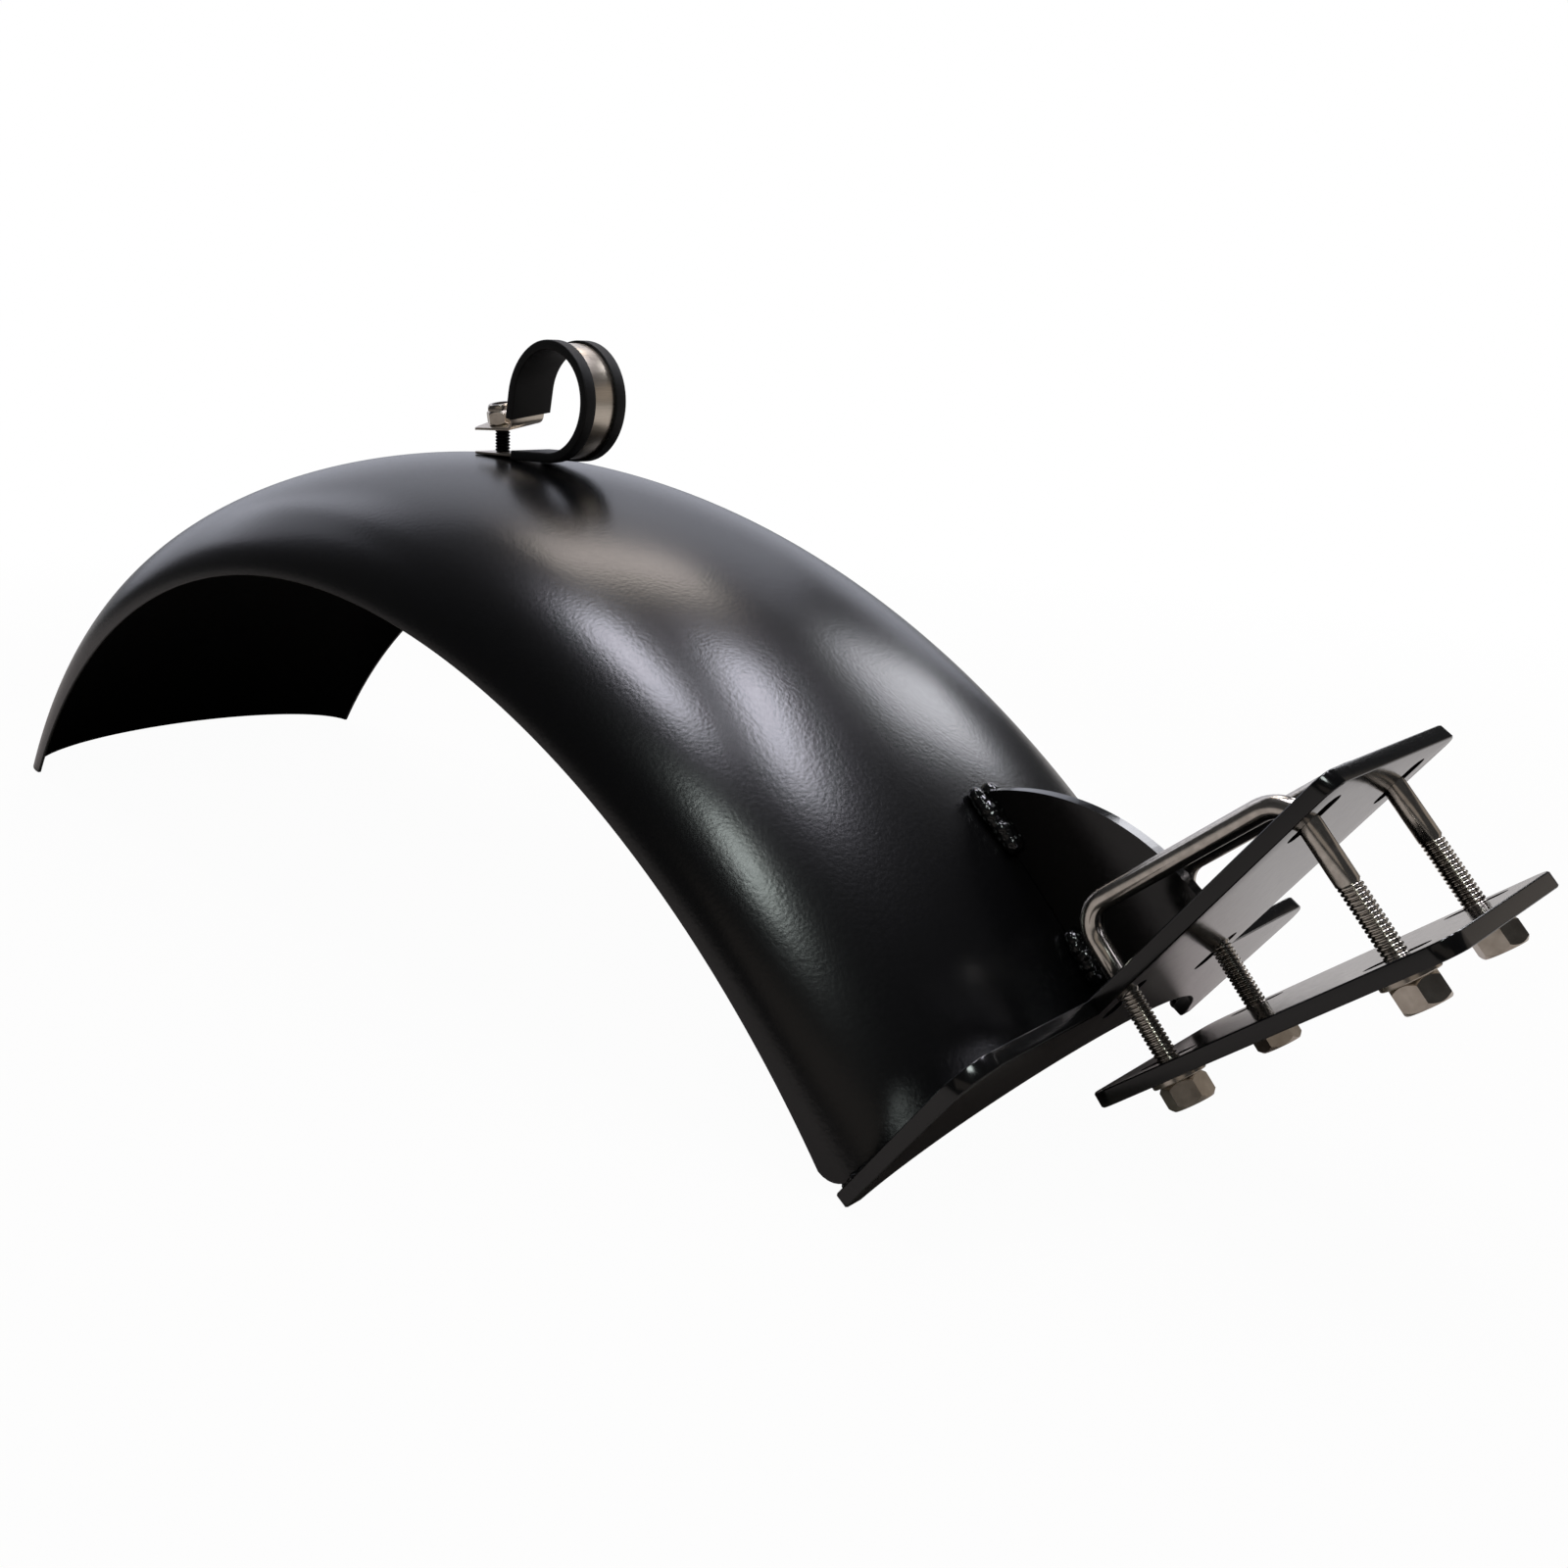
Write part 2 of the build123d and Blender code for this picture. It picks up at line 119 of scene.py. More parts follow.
# %% Colour, node and material helpers
# a mixing node's colour sockets share their names with others, so they go by number
FACTOR, DARK, PALE, MIXED = 0, 6, 7, 2


def linear(code):
    """Linear colour from an sRGB hex value."""
    channels = [int(code[i : i + 2], 16) / 255 for i in (1, 3, 5)]
    return [c / 12.92 if c <= 0.04045 else ((c + 0.055) / 1.055) ** 2.4 for c in channels] + [1.0]


def add_node(tree, kind, inputs=None, **settings):
    """Adds a node with its settings; an input is a value, a socket, or a node for its first socket."""
    node = tree.nodes.new(kind)
    for name, value in settings.items():
        setattr(node, name, value)
    for name, value in (inputs or {}).items():
        if isinstance(value, bpy.types.Node):
            value = value.outputs[0]
        if isinstance(value, bpy.types.NodeSocket):
            tree.links.new(value, node.inputs[name])
        else:
            node.inputs[name].default_value = value
    return node


def new_material(name):
    """An empty node material, its tree, and the place on the piece in metres."""
    material = bpy.data.materials.new(name)
    material.use_nodes = True
    tree = material.node_tree
    tree.nodes.clear()
    return material, tree, add_node(tree, "ShaderNodeTexCoord").outputs["Object"]


def add_skin(tree, pattern, colours, sheen, roughness, inputs):
    """Ends a finish: a pattern mixes its two hex colours, and another sets its roughness."""
    dark, pale = [linear(code) for code in colours]
    tone = add_node(tree, "ShaderNodeMix", {FACTOR: pattern, DARK: dark, PALE: pale}, data_type="RGBA")
    low, high = roughness
    rough = add_node(tree, "ShaderNodeMapRange", {"Value": sheen, "To Min": low, "To Max": high})
    inputs = {"Base Color": tone.outputs[MIXED], "Roughness": rough, **inputs}
    skin = add_node(tree, "ShaderNodeBsdfPrincipled", inputs)
    add_node(tree, "ShaderNodeOutputMaterial", {"Surface": skin})


# %% [markdown]
# ## Satin black powder coat
# The shell is sheet steel sprayed with a black epoxy powder and baked. The melted grains level out
# but leave a fine orange peel, which breaks up the lamps' reflections. A displaced mesh could carry
# the peel, but bumps in the shader cost no faces. So the colour is a near black, the roughness is that
# of satin, and two bumps carry the peel.

# %% Satin black powder coat
# the real peel is too fine to show in the picture, so it is drawn a little coarser
PEEL_MM = 1.3
WAVE_MM = 6.0
satin_coat, tree, place = new_material("satin_black_powder_coat")
peel = add_node(tree, "ShaderNodeTexNoise", {"Vector": place, "Scale": 1 / (PEEL_MM * MM), "Detail": 2.0})
wave = add_node(tree, "ShaderNodeTexNoise", {"Vector": place, "Scale": 1 / (WAVE_MM * MM), "Detail": 1.0})
fine = add_node(tree, "ShaderNodeBump", {"Height": peel, "Strength": 0.5, "Distance": 0.1 * MM})
coarse = {"Height": wave, "Strength": 0.1, "Distance": 0.1 * MM, "Normal": fine}
coarse = add_node(tree, "ShaderNodeBump", coarse)
add_skin(tree, wave, ("#020202", "#040405"), peel, (0.23, 0.28), {"IOR": 1.5, "Normal": coarse})
print(satin_coat.name, "peel", PEEL_MM, "mm")

# %% [markdown]
# ## Dull inner coat
# The hollow side faces the wheel and gets only the powder that drifts round the rims, so it stays dry
# and matt. The outer coat could serve here too, but it would mirror the floor. A rough paint with
# little shine swallows nearly all the light that comes up from below.

# %% Dull inner coat
DUST_MM = 2.0
inner_coat, tree, place = new_material("dull_black_inner_coat")
dust = add_node(tree, "ShaderNodeTexNoise", {"Vector": place, "Scale": 1 / (DUST_MM * MM), "Detail": 3.0})
dry = add_node(tree, "ShaderNodeBump", {"Height": dust, "Strength": 0.3, "Distance": 0.1 * MM})
add_skin(tree, dust, ("#030303", "#060606"), dust, (0.75, 0.9), {"Specular IOR Level": 0.12, "Normal": dry})
print(inner_coat.name, "dust", DUST_MM, "mm")

# %% [markdown]
# ## Gloss black powder coat
# The plates carry a glossier black, flowed out almost flat, so that they mirror the pale floor when
# seen at a low angle. A clear layer over a matt black could do that too, but one smooth layer is
# enough. The same peel is there, only lower and wider.

# %% Gloss black powder coat
FLOW_MM = 2.5
gloss_coat, tree, place = new_material("gloss_black_powder_coat")
flow = add_node(tree, "ShaderNodeTexNoise", {"Vector": place, "Scale": 1 / (FLOW_MM * MM), "Detail": 1.0})
ripple = add_node(tree, "ShaderNodeBump", {"Height": flow, "Strength": 0.12, "Distance": 0.04 * MM})
add_skin(tree, flow, ("#050505", "#090909"), flow, (0.12, 0.18), {"IOR": 1.5, "Normal": ripple})
print(gloss_coat.name, "flow", FLOW_MM, "mm")

# %% [markdown]
# ## Stainless steel
# The rods are drawn through a die, the strip is rolled and brushed, and the nuts are pressed and
# turned. All are the same warm grey metal, and the clip bolt's steel is painted near black, as painted
# shade for the shadow between the clip's ears. A painted picture of scratches would have to be fitted
# to each piece. So one function makes every finish from noise, with the marks' width and how far they
# stretch along the piece's axes.

# %% Stainless steel finishes
ROUGH_SPREAD = 0.06


def stainless(name, dark, pale, rough, mark_mm, stretch):
    """Stainless steel with fine marks, mark_mm wide and stretched along the axes by the factors."""
    material, tree, place = new_material(name)
    scale = [1 / (mark_mm * MM * factor) for factor in stretch]
    drawn = add_node(tree, "ShaderNodeMapping", {"Vector": place, "Scale": scale})
    marks = add_node(tree, "ShaderNodeTexNoise", {"Vector": drawn, "Scale": 1.0, "Detail": 3.0})
    worn = add_node(tree, "ShaderNodeMapRange", {"Value": marks, "From Min": 0.3, "From Max": 0.75})
    score = add_node(tree, "ShaderNodeBump", {"Height": marks, "Strength": 0.1, "Distance": 0.02 * MM})
    roughness = (rough - ROUGH_SPREAD, rough + ROUGH_SPREAD)
    add_skin(tree, worn, (dark, pale), marks, roughness, {"Metallic": 1.0, "Normal": score})
    print(name, "marks", mark_mm, "mm")
    return material


drawn_rod = stainless("drawn_stainless_rod", "#b3ada4", "#d2ccc3", 0.18, 0.5, (4, 1, 4))
pressed_nut = stainless("pressed_stainless_nut", "#a89f93", "#c9c1b5", 0.2, 4.0, (1, 1, 1))
brushed_strip = stainless("brushed_stainless_strip", "#c0b6a8", "#d2c9bc", 0.3, 0.25, (1, 40, 1))
# the clip bolt's near black is painted shade, standing in for the shadow between the clip's ears
shaded_thread = stainless("oiled_dark_thread", "#0c0c0c", "#1c1b1a", 0.35, 0.6, (1, 1, 1))

# %% [markdown]
# ## Rubber
# The clip's channel is extruded black rubber: a dull skin with a faint bloom, a little paler where it
# has been handled. A plain dark grey would look like plastic. So a wide noise carries the bloom, and a
# very fine grain breaks up the broad highlight.

# %% Extruded rubber
BLOOM_MM = 9.0
GRAIN_MM = 0.4
rubber, tree, place = new_material("extruded_black_rubber")
bloom = add_node(tree, "ShaderNodeTexNoise", {"Vector": place, "Scale": 1 / (BLOOM_MM * MM), "Detail": 3.0})
grain = add_node(tree, "ShaderNodeTexNoise", {"Vector": place, "Scale": 1 / (GRAIN_MM * MM), "Detail": 2.0})
pores = add_node(tree, "ShaderNodeBump", {"Height": grain, "Strength": 0.2, "Distance": 0.05 * MM})
dull = {"Specular IOR Level": 0.25, "Normal": pores}
add_skin(tree, bloom, ("#080808", "#0f0f0f"), bloom, (0.5, 0.6), dull)
print(rubber.name, "grain", GRAIN_MM, "mm")

# %% [markdown]
# ## The shell
# A fender blank is rolled: one rounded section, bent round two arcs that meet on top. The frame's
# solid is exact, but its triangles would show in the long soft highlights. So the skin is drawn again
# as a fine grid, section by section, with every row stopping where the mounting plate cuts it and
# the skirts' front corners rounded off.

# %% Mesh and piece helpers
DOUBLE_MM = 0.0001


def smoothed(mesh, sharp, near_mm):
    """Merges a mesh's doubled corners, turns its faces outwards and keeps edges over an angle sharp."""
    shaper = bmesh.new()
    shaper.from_mesh(mesh)
    bmesh.ops.remove_doubles(shaper, verts=shaper.verts, dist=near_mm * MM)
    bmesh.ops.recalc_face_normals(shaper, faces=shaper.faces)
    shaper.to_mesh(mesh)
    shaper.free()
    mesh.shade_smooth()
    mesh.set_sharp_from_angle(angle=radians(sharp))


def mesh_from(name, corners, faces, sharp=35, shades=None):
    """A smooth-shaded mesh from corners in millimetres, with a material number for each face."""
    mesh = bpy.data.meshes.new(name)
    mesh.from_pydata([Vector(c) * MM for c in corners], [], faces)
    if shades:
        mesh.polygons.foreach_set("material_index", shades)
    smoothed(mesh, sharp, DOUBLE_MM)
    return mesh


def grid_faces(rows, columns, capped=True):
    """Faces between rows of a closed section, with both ends capped at will."""
    faces = []
    for row in range(rows - 1):
        for i in range(columns):
            j = (i + 1) % columns
            a, b = row * columns, (row + 1) * columns
            faces.append((a + i, a + j, b + j, b + i))
    if capped:
        faces.append(tuple(range(columns)))
        faces.append(tuple(range((rows - 1) * columns, rows * columns)))
    return faces


def new_object(name, data):
    """An object of its own in the scene."""
    thing = bpy.data.objects.new(name, data)
    bpy.context.scene.collection.objects.link(thing)
    return thing


def add_piece(name, mesh, materials, slot, *nodes):
    """Puts a finished mesh on the fender in place of the frame's nodes."""
    piece = new_object(name, mesh)
    for material in materials[len(mesh.materials) :]:
        mesh.materials.append(material)
    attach(piece, "root")
    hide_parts(*nodes)
    print(name, len(mesh.polygons), "faces")


# %% Where the front end of each row stops
SKIRT_RADIUS = FRONT_RADIUS - SECTION_DEPTH
CORNER_REACH = SKIRT_RADIUS + CORNER_RADIUS
# along and above the plate, the places here are counted from the front arc's centre
centre_along = (front_centre - plate_root).dot(plate_along)
plate_top = PLATE_THICKNESS - (front_centre - plate_root).dot(plate_up)
corner_up = plate_top + CORNER_RADIUS
corner_along = sqrt(CORNER_REACH**2 - corner_up**2)
corner_foot = hypot(corner_along, plate_top)


def front_stop(radius):
    """Angle from upright at which a row of this radius ends, on the plate or on the rounded corner."""
    if radius >= corner_foot:
        along, up = sqrt(radius**2 - plate_top**2), plate_top
    else:
        share = (radius**2 + CORNER_REACH**2 - CORNER_RADIUS**2) / (2 * radius * CORNER_REACH)
        angle = atan2(corner_up, corner_along) - acos(min(1.0, share))
        along, up = radius * cos(angle), radius * sin(angle)
    x, z = plate_along * along + plate_up * up
    return atan2(x, z)


print("crown stops at", round(degrees(front_stop(FRONT_RADIUS)), 2), "degrees from upright")

# %% The shell's skin
SECTION_STEPS = 112
TAIL_STEPS = 84
FRONT_STEPS = 72
RIM_ROUND = 0.4


def section_loop():
    """The sheet's section as a closed loop of (y, depth) with slightly rounded rims."""
    rim = RIM_ROUND / SECTION_DEPTH
    turns = [rim] + [pi * i / SECTION_STEPS for i in range(1, SECTION_STEPS)] + [pi - rim]
    inner_width, inner_depth = HALF_WIDTH - SHEET, SECTION_DEPTH - SHEET
    outer = [(-HALF_WIDTH * cos(t), SECTION_DEPTH * (1 - sin(t))) for t in turns]
    inner = [(-inner_width * cos(t), SECTION_DEPTH - inner_depth * sin(t)) for t in turns]
    left = [(HALF_WIDTH - RIM_ROUND, SECTION_DEPTH), (inner_width + RIM_ROUND, SECTION_DEPTH)]
    right = [(-y, depth) for y, depth in reversed(left)]
    return outer + left + list(reversed(inner)) + right


def skin_point(y, depth, step):
    """Corner of the skin: negative steps run to the tail, positive ones to the plate."""
    start = radians(JOIN_LEAN)
    if step <= 0:
        centre, radius = tail_centre, TAIL_RADIUS - depth
        angle = start + (start + acos(centre_depth / radius)) * step / TAIL_STEPS
    else:
        centre, radius = front_centre, FRONT_RADIUS - depth
        angle = start + (front_stop(radius) - start) * step / FRONT_STEPS
    return centre[0] + radius * sin(angle), y, centre[1] + radius * cos(angle)


loop = section_loop()
steps = range(-TAIL_STEPS, FRONT_STEPS + 1)
corners = [skin_point(y, depth, step) for step in steps for y, depth in loop]
faces = grid_faces(len(steps), len(loop), capped=False)
# a loop holds the outer corners, two on the left rim, as many inner corners, and two on the right rim
points = SECTION_STEPS + 1
shades = [int(points + 2 <= i % len(loop) < 2 * points + 1) for i in range(len(faces))]
for first in (0, (len(steps) - 1) * len(loop)):
    # outer corner i lies across the sheet from the inner corner that is i before the last one
    outer_end, inner_end = first + points - 1, first + 2 * points + 1
    for i in range(points - 1):
        faces.append((first + i, first + i + 1, inner_end - i - 1, inner_end - i))
    faces.append((outer_end, outer_end + 1, outer_end + 2, outer_end + 3))
    faces.append((first, inner_end + 2, inner_end + 1, inner_end))
shades += [0] * (len(faces) - len(shades))
shell_mesh = mesh_from("fender_shell_skin", corners, faces, sharp=40, shades=shades)
add_piece("fender_shell_skin", shell_mesh, [satin_coat, inner_coat], "satin_black_coat", "fender_shell")

# %% [markdown]
# ## The plates
# The mounting plate, the gusset and the clamp plate are flat, laser-cut and chamfered. They could be
# drawn again, but their solids are already right, so their meshes are only copied, merged and shaded
# smoothly round the corners, with the normals held square on the flats. The washer inside the crown is
# out of sight and only takes its steel.

# %% Plates and the hidden washer
SOLID_DOUBLE_MM = 0.001
PLATE_SHARP = 30


def settled(holder, modifier):
    """The plain mesh that a modifier makes of its holder, which then goes."""
    depsgraph = bpy.context.evaluated_depsgraph_get()
    mesh = bpy.data.meshes.new_from_object(holder.evaluated_get(depsgraph))
    mesh.name = holder.name
    holder.modifiers.remove(modifier)
    bpy.data.objects.remove(holder)
    return mesh


def eased_copy(name):
    """A solid's mesh, merged, smooth round its corners and true on its flats."""
    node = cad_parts[name]
    mesh = node.data.copy()
    mesh.transform(node.matrix_world)
    mesh.materials.clear()
    smoothed(mesh, PLATE_SHARP, SOLID_DOUBLE_MM)
    holder = new_object(name + "_copy", mesh)
    even = holder.modifiers.new("even", "WEIGHTED_NORMAL")
    even.keep_sharp = True
    return settled(holder, even)


for name in ("mounting_plate", "gusset_plate", "clamp_plate"):
    add_piece(name + "_coated", eased_copy(name), [gloss_coat], "gloss_black_coat", name)
hidden_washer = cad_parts["clip_washer"].data
hidden_washer.materials.clear()
hidden_washer.materials.append(pressed_nut)
print("clip_washer", pressed_nut.name)

# %% [markdown]
# ## Welds
# A hand-held torch leaves a row of frozen ripples, each a puddle that set a moment after the one
# before. Each bead could be sculpted by hand, but a tree of Geometry Nodes follows any seam. It lays a
# flattened puddle at every pitch, a little different from its neighbours, melts them into one skin and
# swells that unevenly. What a tree grows on its seed mesh is kept as a plain mesh.


# %% Geometry Nodes helpers
def new_tree(name, **inputs):
    """A Geometry Nodes tree with a geometry going through it and named inputs of given kinds."""
    tree = bpy.data.node_groups.new(name, "GeometryNodeTree")
    tree.interface.new_socket("Geometry", in_out="OUTPUT", socket_type="NodeSocketGeometry")
    tree.interface.new_socket("Geometry", in_out="INPUT", socket_type="NodeSocketGeometry")
    for label, kind in inputs.items():
        tree.interface.new_socket(label, in_out="INPUT", socket_type="NodeSocket" + kind)
    return tree, add_node(tree, "NodeGroupInput").outputs


def finish_tree(tree, shape, material):
    """Makes a tree's copies real and sets their material."""
    real = add_node(tree, "GeometryNodeRealizeInstances", {"Geometry": shape})
    done = add_node(tree, "GeometryNodeSetMaterial", {"Geometry": real, "Material": material})
    add_node(tree, "NodeGroupOutput", {"Geometry": done})
    print(tree.name, len(tree.nodes), "nodes")


def grow(name, tree, seed_mesh, **values):
    """Runs a tree on a seed mesh and returns the plain mesh that it makes."""
    holder = new_object(name, seed_mesh)
    modifier = holder.modifiers.new("grow", "NODES")
    modifier.node_group = tree
    for item in tree.interface.items_tree:
        if item.in_out == "INPUT" and item.name in values:
            modifier[item.identifier] = values[item.name]
    return settled(holder, modifier)


def joined(name, meshes):
    """One mesh out of several."""
    shaper = bmesh.new()
    for mesh in meshes:
        shaper.from_mesh(mesh)
    whole = bpy.data.meshes.new(name)
    shaper.to_mesh(whole)
    shaper.free()
    return whole


# %% Weld ripples
WELD_LUMP_MM = 6.0
WELD_SWELL_MM = 0.7
WELD_GRAIN_MM = 0.25
weld_tree, given = new_tree("weld_ripples", Pitch="Float", Radius="Float", Seed="Int", Material="Material")
seam = add_node(weld_tree, "GeometryNodeMeshToCurve", {"Mesh": given["Geometry"]})
marks = {"Curve": seam, "Length": given["Pitch"]}
ball = {"Segments": 40, "Rings": 24, "Radius": given["Radius"]}
way = add_node(weld_tree, "GeometryNodeInputTangent")
size = {"Min": (0.85, 0.8, 0.7), "Max": (1.15, 1.0, 1.0), "Seed": given["Seed"]}
puddles = add_node(
    weld_tree,
    "GeometryNodeInstanceOnPoints",
    {
        "Points": add_node(weld_tree, "GeometryNodeResampleCurve", marks, mode="LENGTH"),
        "Instance": add_node(weld_tree, "GeometryNodeMeshUVSphere", ball),
        "Rotation": add_node(weld_tree, "FunctionNodeAlignRotationToVector", {"Vector": way}, axis="X"),
        "Scale": add_node(weld_tree, "FunctionNodeRandomValue", size, data_type="FLOAT_VECTOR"),
    },
)
heap = add_node(weld_tree, "GeometryNodeRealizeInstances", {"Geometry": puddles})
voxel = WELD_GRAIN_MM * MM
melt = {"Mesh": heap, "Voxel Size": voxel, "Interior Band Width": 2 * voxel}
melt = add_node(weld_tree, "GeometryNodeMeshToVolume", melt, resolution_mode="VOXEL_SIZE")
pool = {"Volume": melt, "Voxel Size": voxel, "Threshold": 0.1}
pool = add_node(weld_tree, "GeometryNodeVolumeToMesh", pool, resolution_mode="VOXEL_SIZE")

# %% Weld swelling
lumps = add_node(weld_tree, "ShaderNodeTexNoise", {"Scale": 1 / (WELD_LUMP_MM * MM), "Detail": 2.0})
swell = {"Value": lumps, "To Min": -WELD_SWELL_MM * MM, "To Max": WELD_SWELL_MM * MM}
swell = add_node(weld_tree, "ShaderNodeMapRange", swell)
outward = add_node(weld_tree, "GeometryNodeInputNormal").outputs["Normal"]
offset = add_node(weld_tree, "ShaderNodeVectorMath", {0: outward, "Scale": swell}, operation="SCALE")
lumpy = add_node(weld_tree, "GeometryNodeSetPosition", {"Geometry": pool, "Offset": offset})
soft = add_node(weld_tree, "GeometryNodeSetShadeSmooth", {"Geometry": lumpy})
finish_tree(weld_tree, soft, given["Material"])

# %% Welds of the gusset
BEAD_RADIUS = 3.5
BEAD_RISE = 2.0
BEAD_Y = 3.45
BEAD_PITCH = 2.4
SEAM_STEPS = 12
SEAM_ANGLES = {"upper": (34.4, 37.0), "lower": (42.0, 43.7)}
SIDES = (("right", -1), ("left", 1))


def weld_bead(name, points, pitch, radius, seed):
    """A rippled bead along a line of points."""
    seam = bpy.data.meshes.new(name)
    seam.from_pydata([Vector(p) * MM for p in points], [(i, i + 1) for i in range(len(points) - 1)], [])
    return grow(name, weld_tree, seam, Pitch=pitch * MM, Radius=radius * MM, Seed=seed, Material=gloss_coat)


beads = {}
for level, (start, end) in SEAM_ANGLES.items():
    for side_name, side in SIDES:
        points = []
        for i in range(SEAM_STEPS + 1):
            lean = JOIN_LEAN + start + (end - start) * i / SEAM_STEPS
            x, z = front_centre + polar(lean, FRONT_RADIUS + BEAD_RISE)
            points.append((x, side * BEAD_Y, z))
        name = f"weld_gusset_{level}_{side_name}"
        beads[name] = weld_bead(name, points, BEAD_PITCH, BEAD_RADIUS, len(beads))
gusset_beads = joined("weld_gusset_beads", beads.values())
add_piece("weld_gusset_beads", gusset_beads, [gloss_coat], "gloss_black_coat", *beads)

# %% Welds of the mounting plate
PLATE_BEAD_RADIUS = 2.2
PLATE_BEAD_PITCH = 2.0
PLATE_BEAD_START = 17.0
PLATE_BEAD_END = 2.5
PLATE_SEED = 10
TIP_FILL = 4.0


def spot(axes, x, y, z):
    """Point in the fender's frame from a place in a side-view frame of origin, along and up."""
    origin, along, up = axes
    side = origin + along * x + up * z
    return side[0], y, side[1]


def seam_place(y):
    """Place along the plate where the shell's outer face meets the plate's top."""
    depth = SECTION_DEPTH * (1 - sqrt(1 - (y / HALF_WIDTH) ** 2))
    return centre_along + sqrt((FRONT_RADIUS - depth) ** 2 - plate_top**2)


beads = {}
for side_name, side in SIDES:
    points = []
    for i in range(SEAM_STEPS + 1):
        inset = PLATE_BEAD_START + (PLATE_BEAD_END - PLATE_BEAD_START) * i / SEAM_STEPS
        y = HALF_WIDTH - inset
        points.append(spot(plate_axes, seam_place(y), side * y, PLATE_THICKNESS))
    points.append(spot(plate_axes, seam_place(y) - TIP_FILL, side * y, PLATE_THICKNESS))
    name = f"weld_plate_{side_name}"
    seed = PLATE_SEED + len(beads)
    beads[name] = weld_bead(name, points, PLATE_BEAD_PITCH, PLATE_BEAD_RADIUS, seed)
plate_beads = joined("weld_plate_beads", beads.values())
add_piece("weld_plate_beads", plate_beads, [gloss_coat], "gloss_black_coat", *beads)

# %% [markdown]
# ## U-bolts
# Each U-bolt is a drawn rod, threaded at both ends and bent square over a former. A bevelled curve could
# give the rod, but it is thinner where the thread has been cut. So one round section is carried along
# the bent line, which is a list of points with the direction to the left of travel. The thread itself
# is a coil: a tree winds a small round ridge about each leg at the thread's pitch.

# %% Sizes and places of the U-bolts
ROD_RADIUS = 3.1
BEND_RADIUS = 9.0
LEG_SPACING = 68.0
LEG_OFFSET = 26.8
BIGHT_HEIGHT = 44.3
CLAMP_TILT = 14.0
REAR_CROSSING = 25.7
REAR_GAP = 18.9
CLAMP_THICKNESS = 4.5
WASHER_THICKNESS = 1.5
NUT_HEIGHT = 7.0
LEG_DEPTH = CLAMP_THICKNESS + WASHER_THICKNESS + NUT_HEIGHT
half = LEG_SPACING / 2
clamp_along, clamp_up = slope(PLATE_ANGLE - CLAMP_TILT)
rear_leg = plate_root + plate_along * REAR_CROSSING - clamp_up * REAR_GAP
clamp_middle = rear_leg + clamp_along * half
clamp_axes = (clamp_middle, clamp_along, clamp_up)
print("clamp middle", rounded(clamp_middle))


# %% Path and sweep helpers
def straight(start, end, count=1):
    """Points of a straight run."""
    way = (end - start).normalized()
    left = Vector((-way[1], way[0]))
    return [(start.lerp(end, i / count), left) for i in range(count + 1)]


def bend(centre, radius, start, sweep, count):
    """Points of an arc, with angles in degrees from the frame's first axis."""
    inward = -1 if sweep > 0 else 1
    points = []
    for i in range(count + 1):
        angle = radians(start + sweep * i / count)
        out = Vector((cos(angle), sin(angle)))
        points.append((centre + out * radius, out * inward))
    return points


def chain(*runs):
    """Runs that follow each other, without the doubled points where they meet."""
    path = list(runs[0])
    for run in runs[1:]:
        path += run[1:]
    return path


def carry(path, axes):
    """A path drawn in a piece's own frame, carried to the side view."""
    origin, along, up = axes
    return [(origin + along * p[0] + up * p[1], along * n[0] + up * n[1]) for p, n in path]


def swept(name, path, section, y=0.0, lean=None):
    """A mesh of section(row), as (sideways, leftward) pairs, carried along a path at a lateral place;
    lean(row) tips it sideways."""
    corners = []
    for row, (point, left) in enumerate(path):
        tip = lean(row) if lean else 0.0
        for across, inset in section(row):
            x = point[0] + left[0] * inset
            z = point[1] + left[1] * inset + across * tip
            corners.append((x, y + across, z))
    return mesh_from(name, corners, grid_faces(len(path), len(section(0))))


def round_section(radius, sides=32):
    """Corners of a circle."""
    return [(radius * cos(2 * pi * i / sides), radius * sin(2 * pi * i / sides)) for i in range(sides)]


# %% Bent rods
THREAD_TOP = 19.0
THREAD_DEPTH = 0.55
THREAD_RUNOUT = 0.8
END_CHAMFER = 0.6
BEND_STEPS = 14
BIGHT_STEPS = 4
root_radius = ROD_RADIUS - THREAD_DEPTH
turn_level = BIGHT_HEIGHT - BEND_RADIUS
turn_place = half - BEND_RADIUS
leg_levels = [
    (-LEG_DEPTH, root_radius - END_CHAMFER),
    (-LEG_DEPTH + END_CHAMFER, root_radius),
    (THREAD_TOP, root_radius),
    (THREAD_TOP + THREAD_RUNOUT, ROD_RADIUS),
]
rise = [(Vector((-half, level)), Vector((-1, 0))) for level, radius in leg_levels]
fall = [(Vector((half, level)), Vector((1, 0))) for level, radius in reversed(leg_levels)]
rod_path = chain(
    rise,
    straight(rise[-1][0], Vector((-half, turn_level))),
    bend(Vector((-turn_place, turn_level)), BEND_RADIUS, 180, -90, BEND_STEPS),
    straight(Vector((-turn_place, BIGHT_HEIGHT)), Vector((turn_place, BIGHT_HEIGHT)), BIGHT_STEPS),
    bend(Vector((turn_place, turn_level)), BEND_RADIUS, 90, -90, BEND_STEPS),
    straight(Vector((half, turn_level)), fall[0][0]),
    fall,
)
rod_radii = [ROD_RADIUS] * len(rod_path)
for i, (level, radius) in enumerate(leg_levels):
    rod_radii[i] = rod_radii[-1 - i] = radius
rod_path = carry(rod_path, clamp_axes)
rods = []
for side_name, side in SIDES:
    rods.append(swept("rod", rod_path, lambda row: round_section(rod_radii[row]), side * LEG_OFFSET))
print("rod path", len(rod_path), "rows")


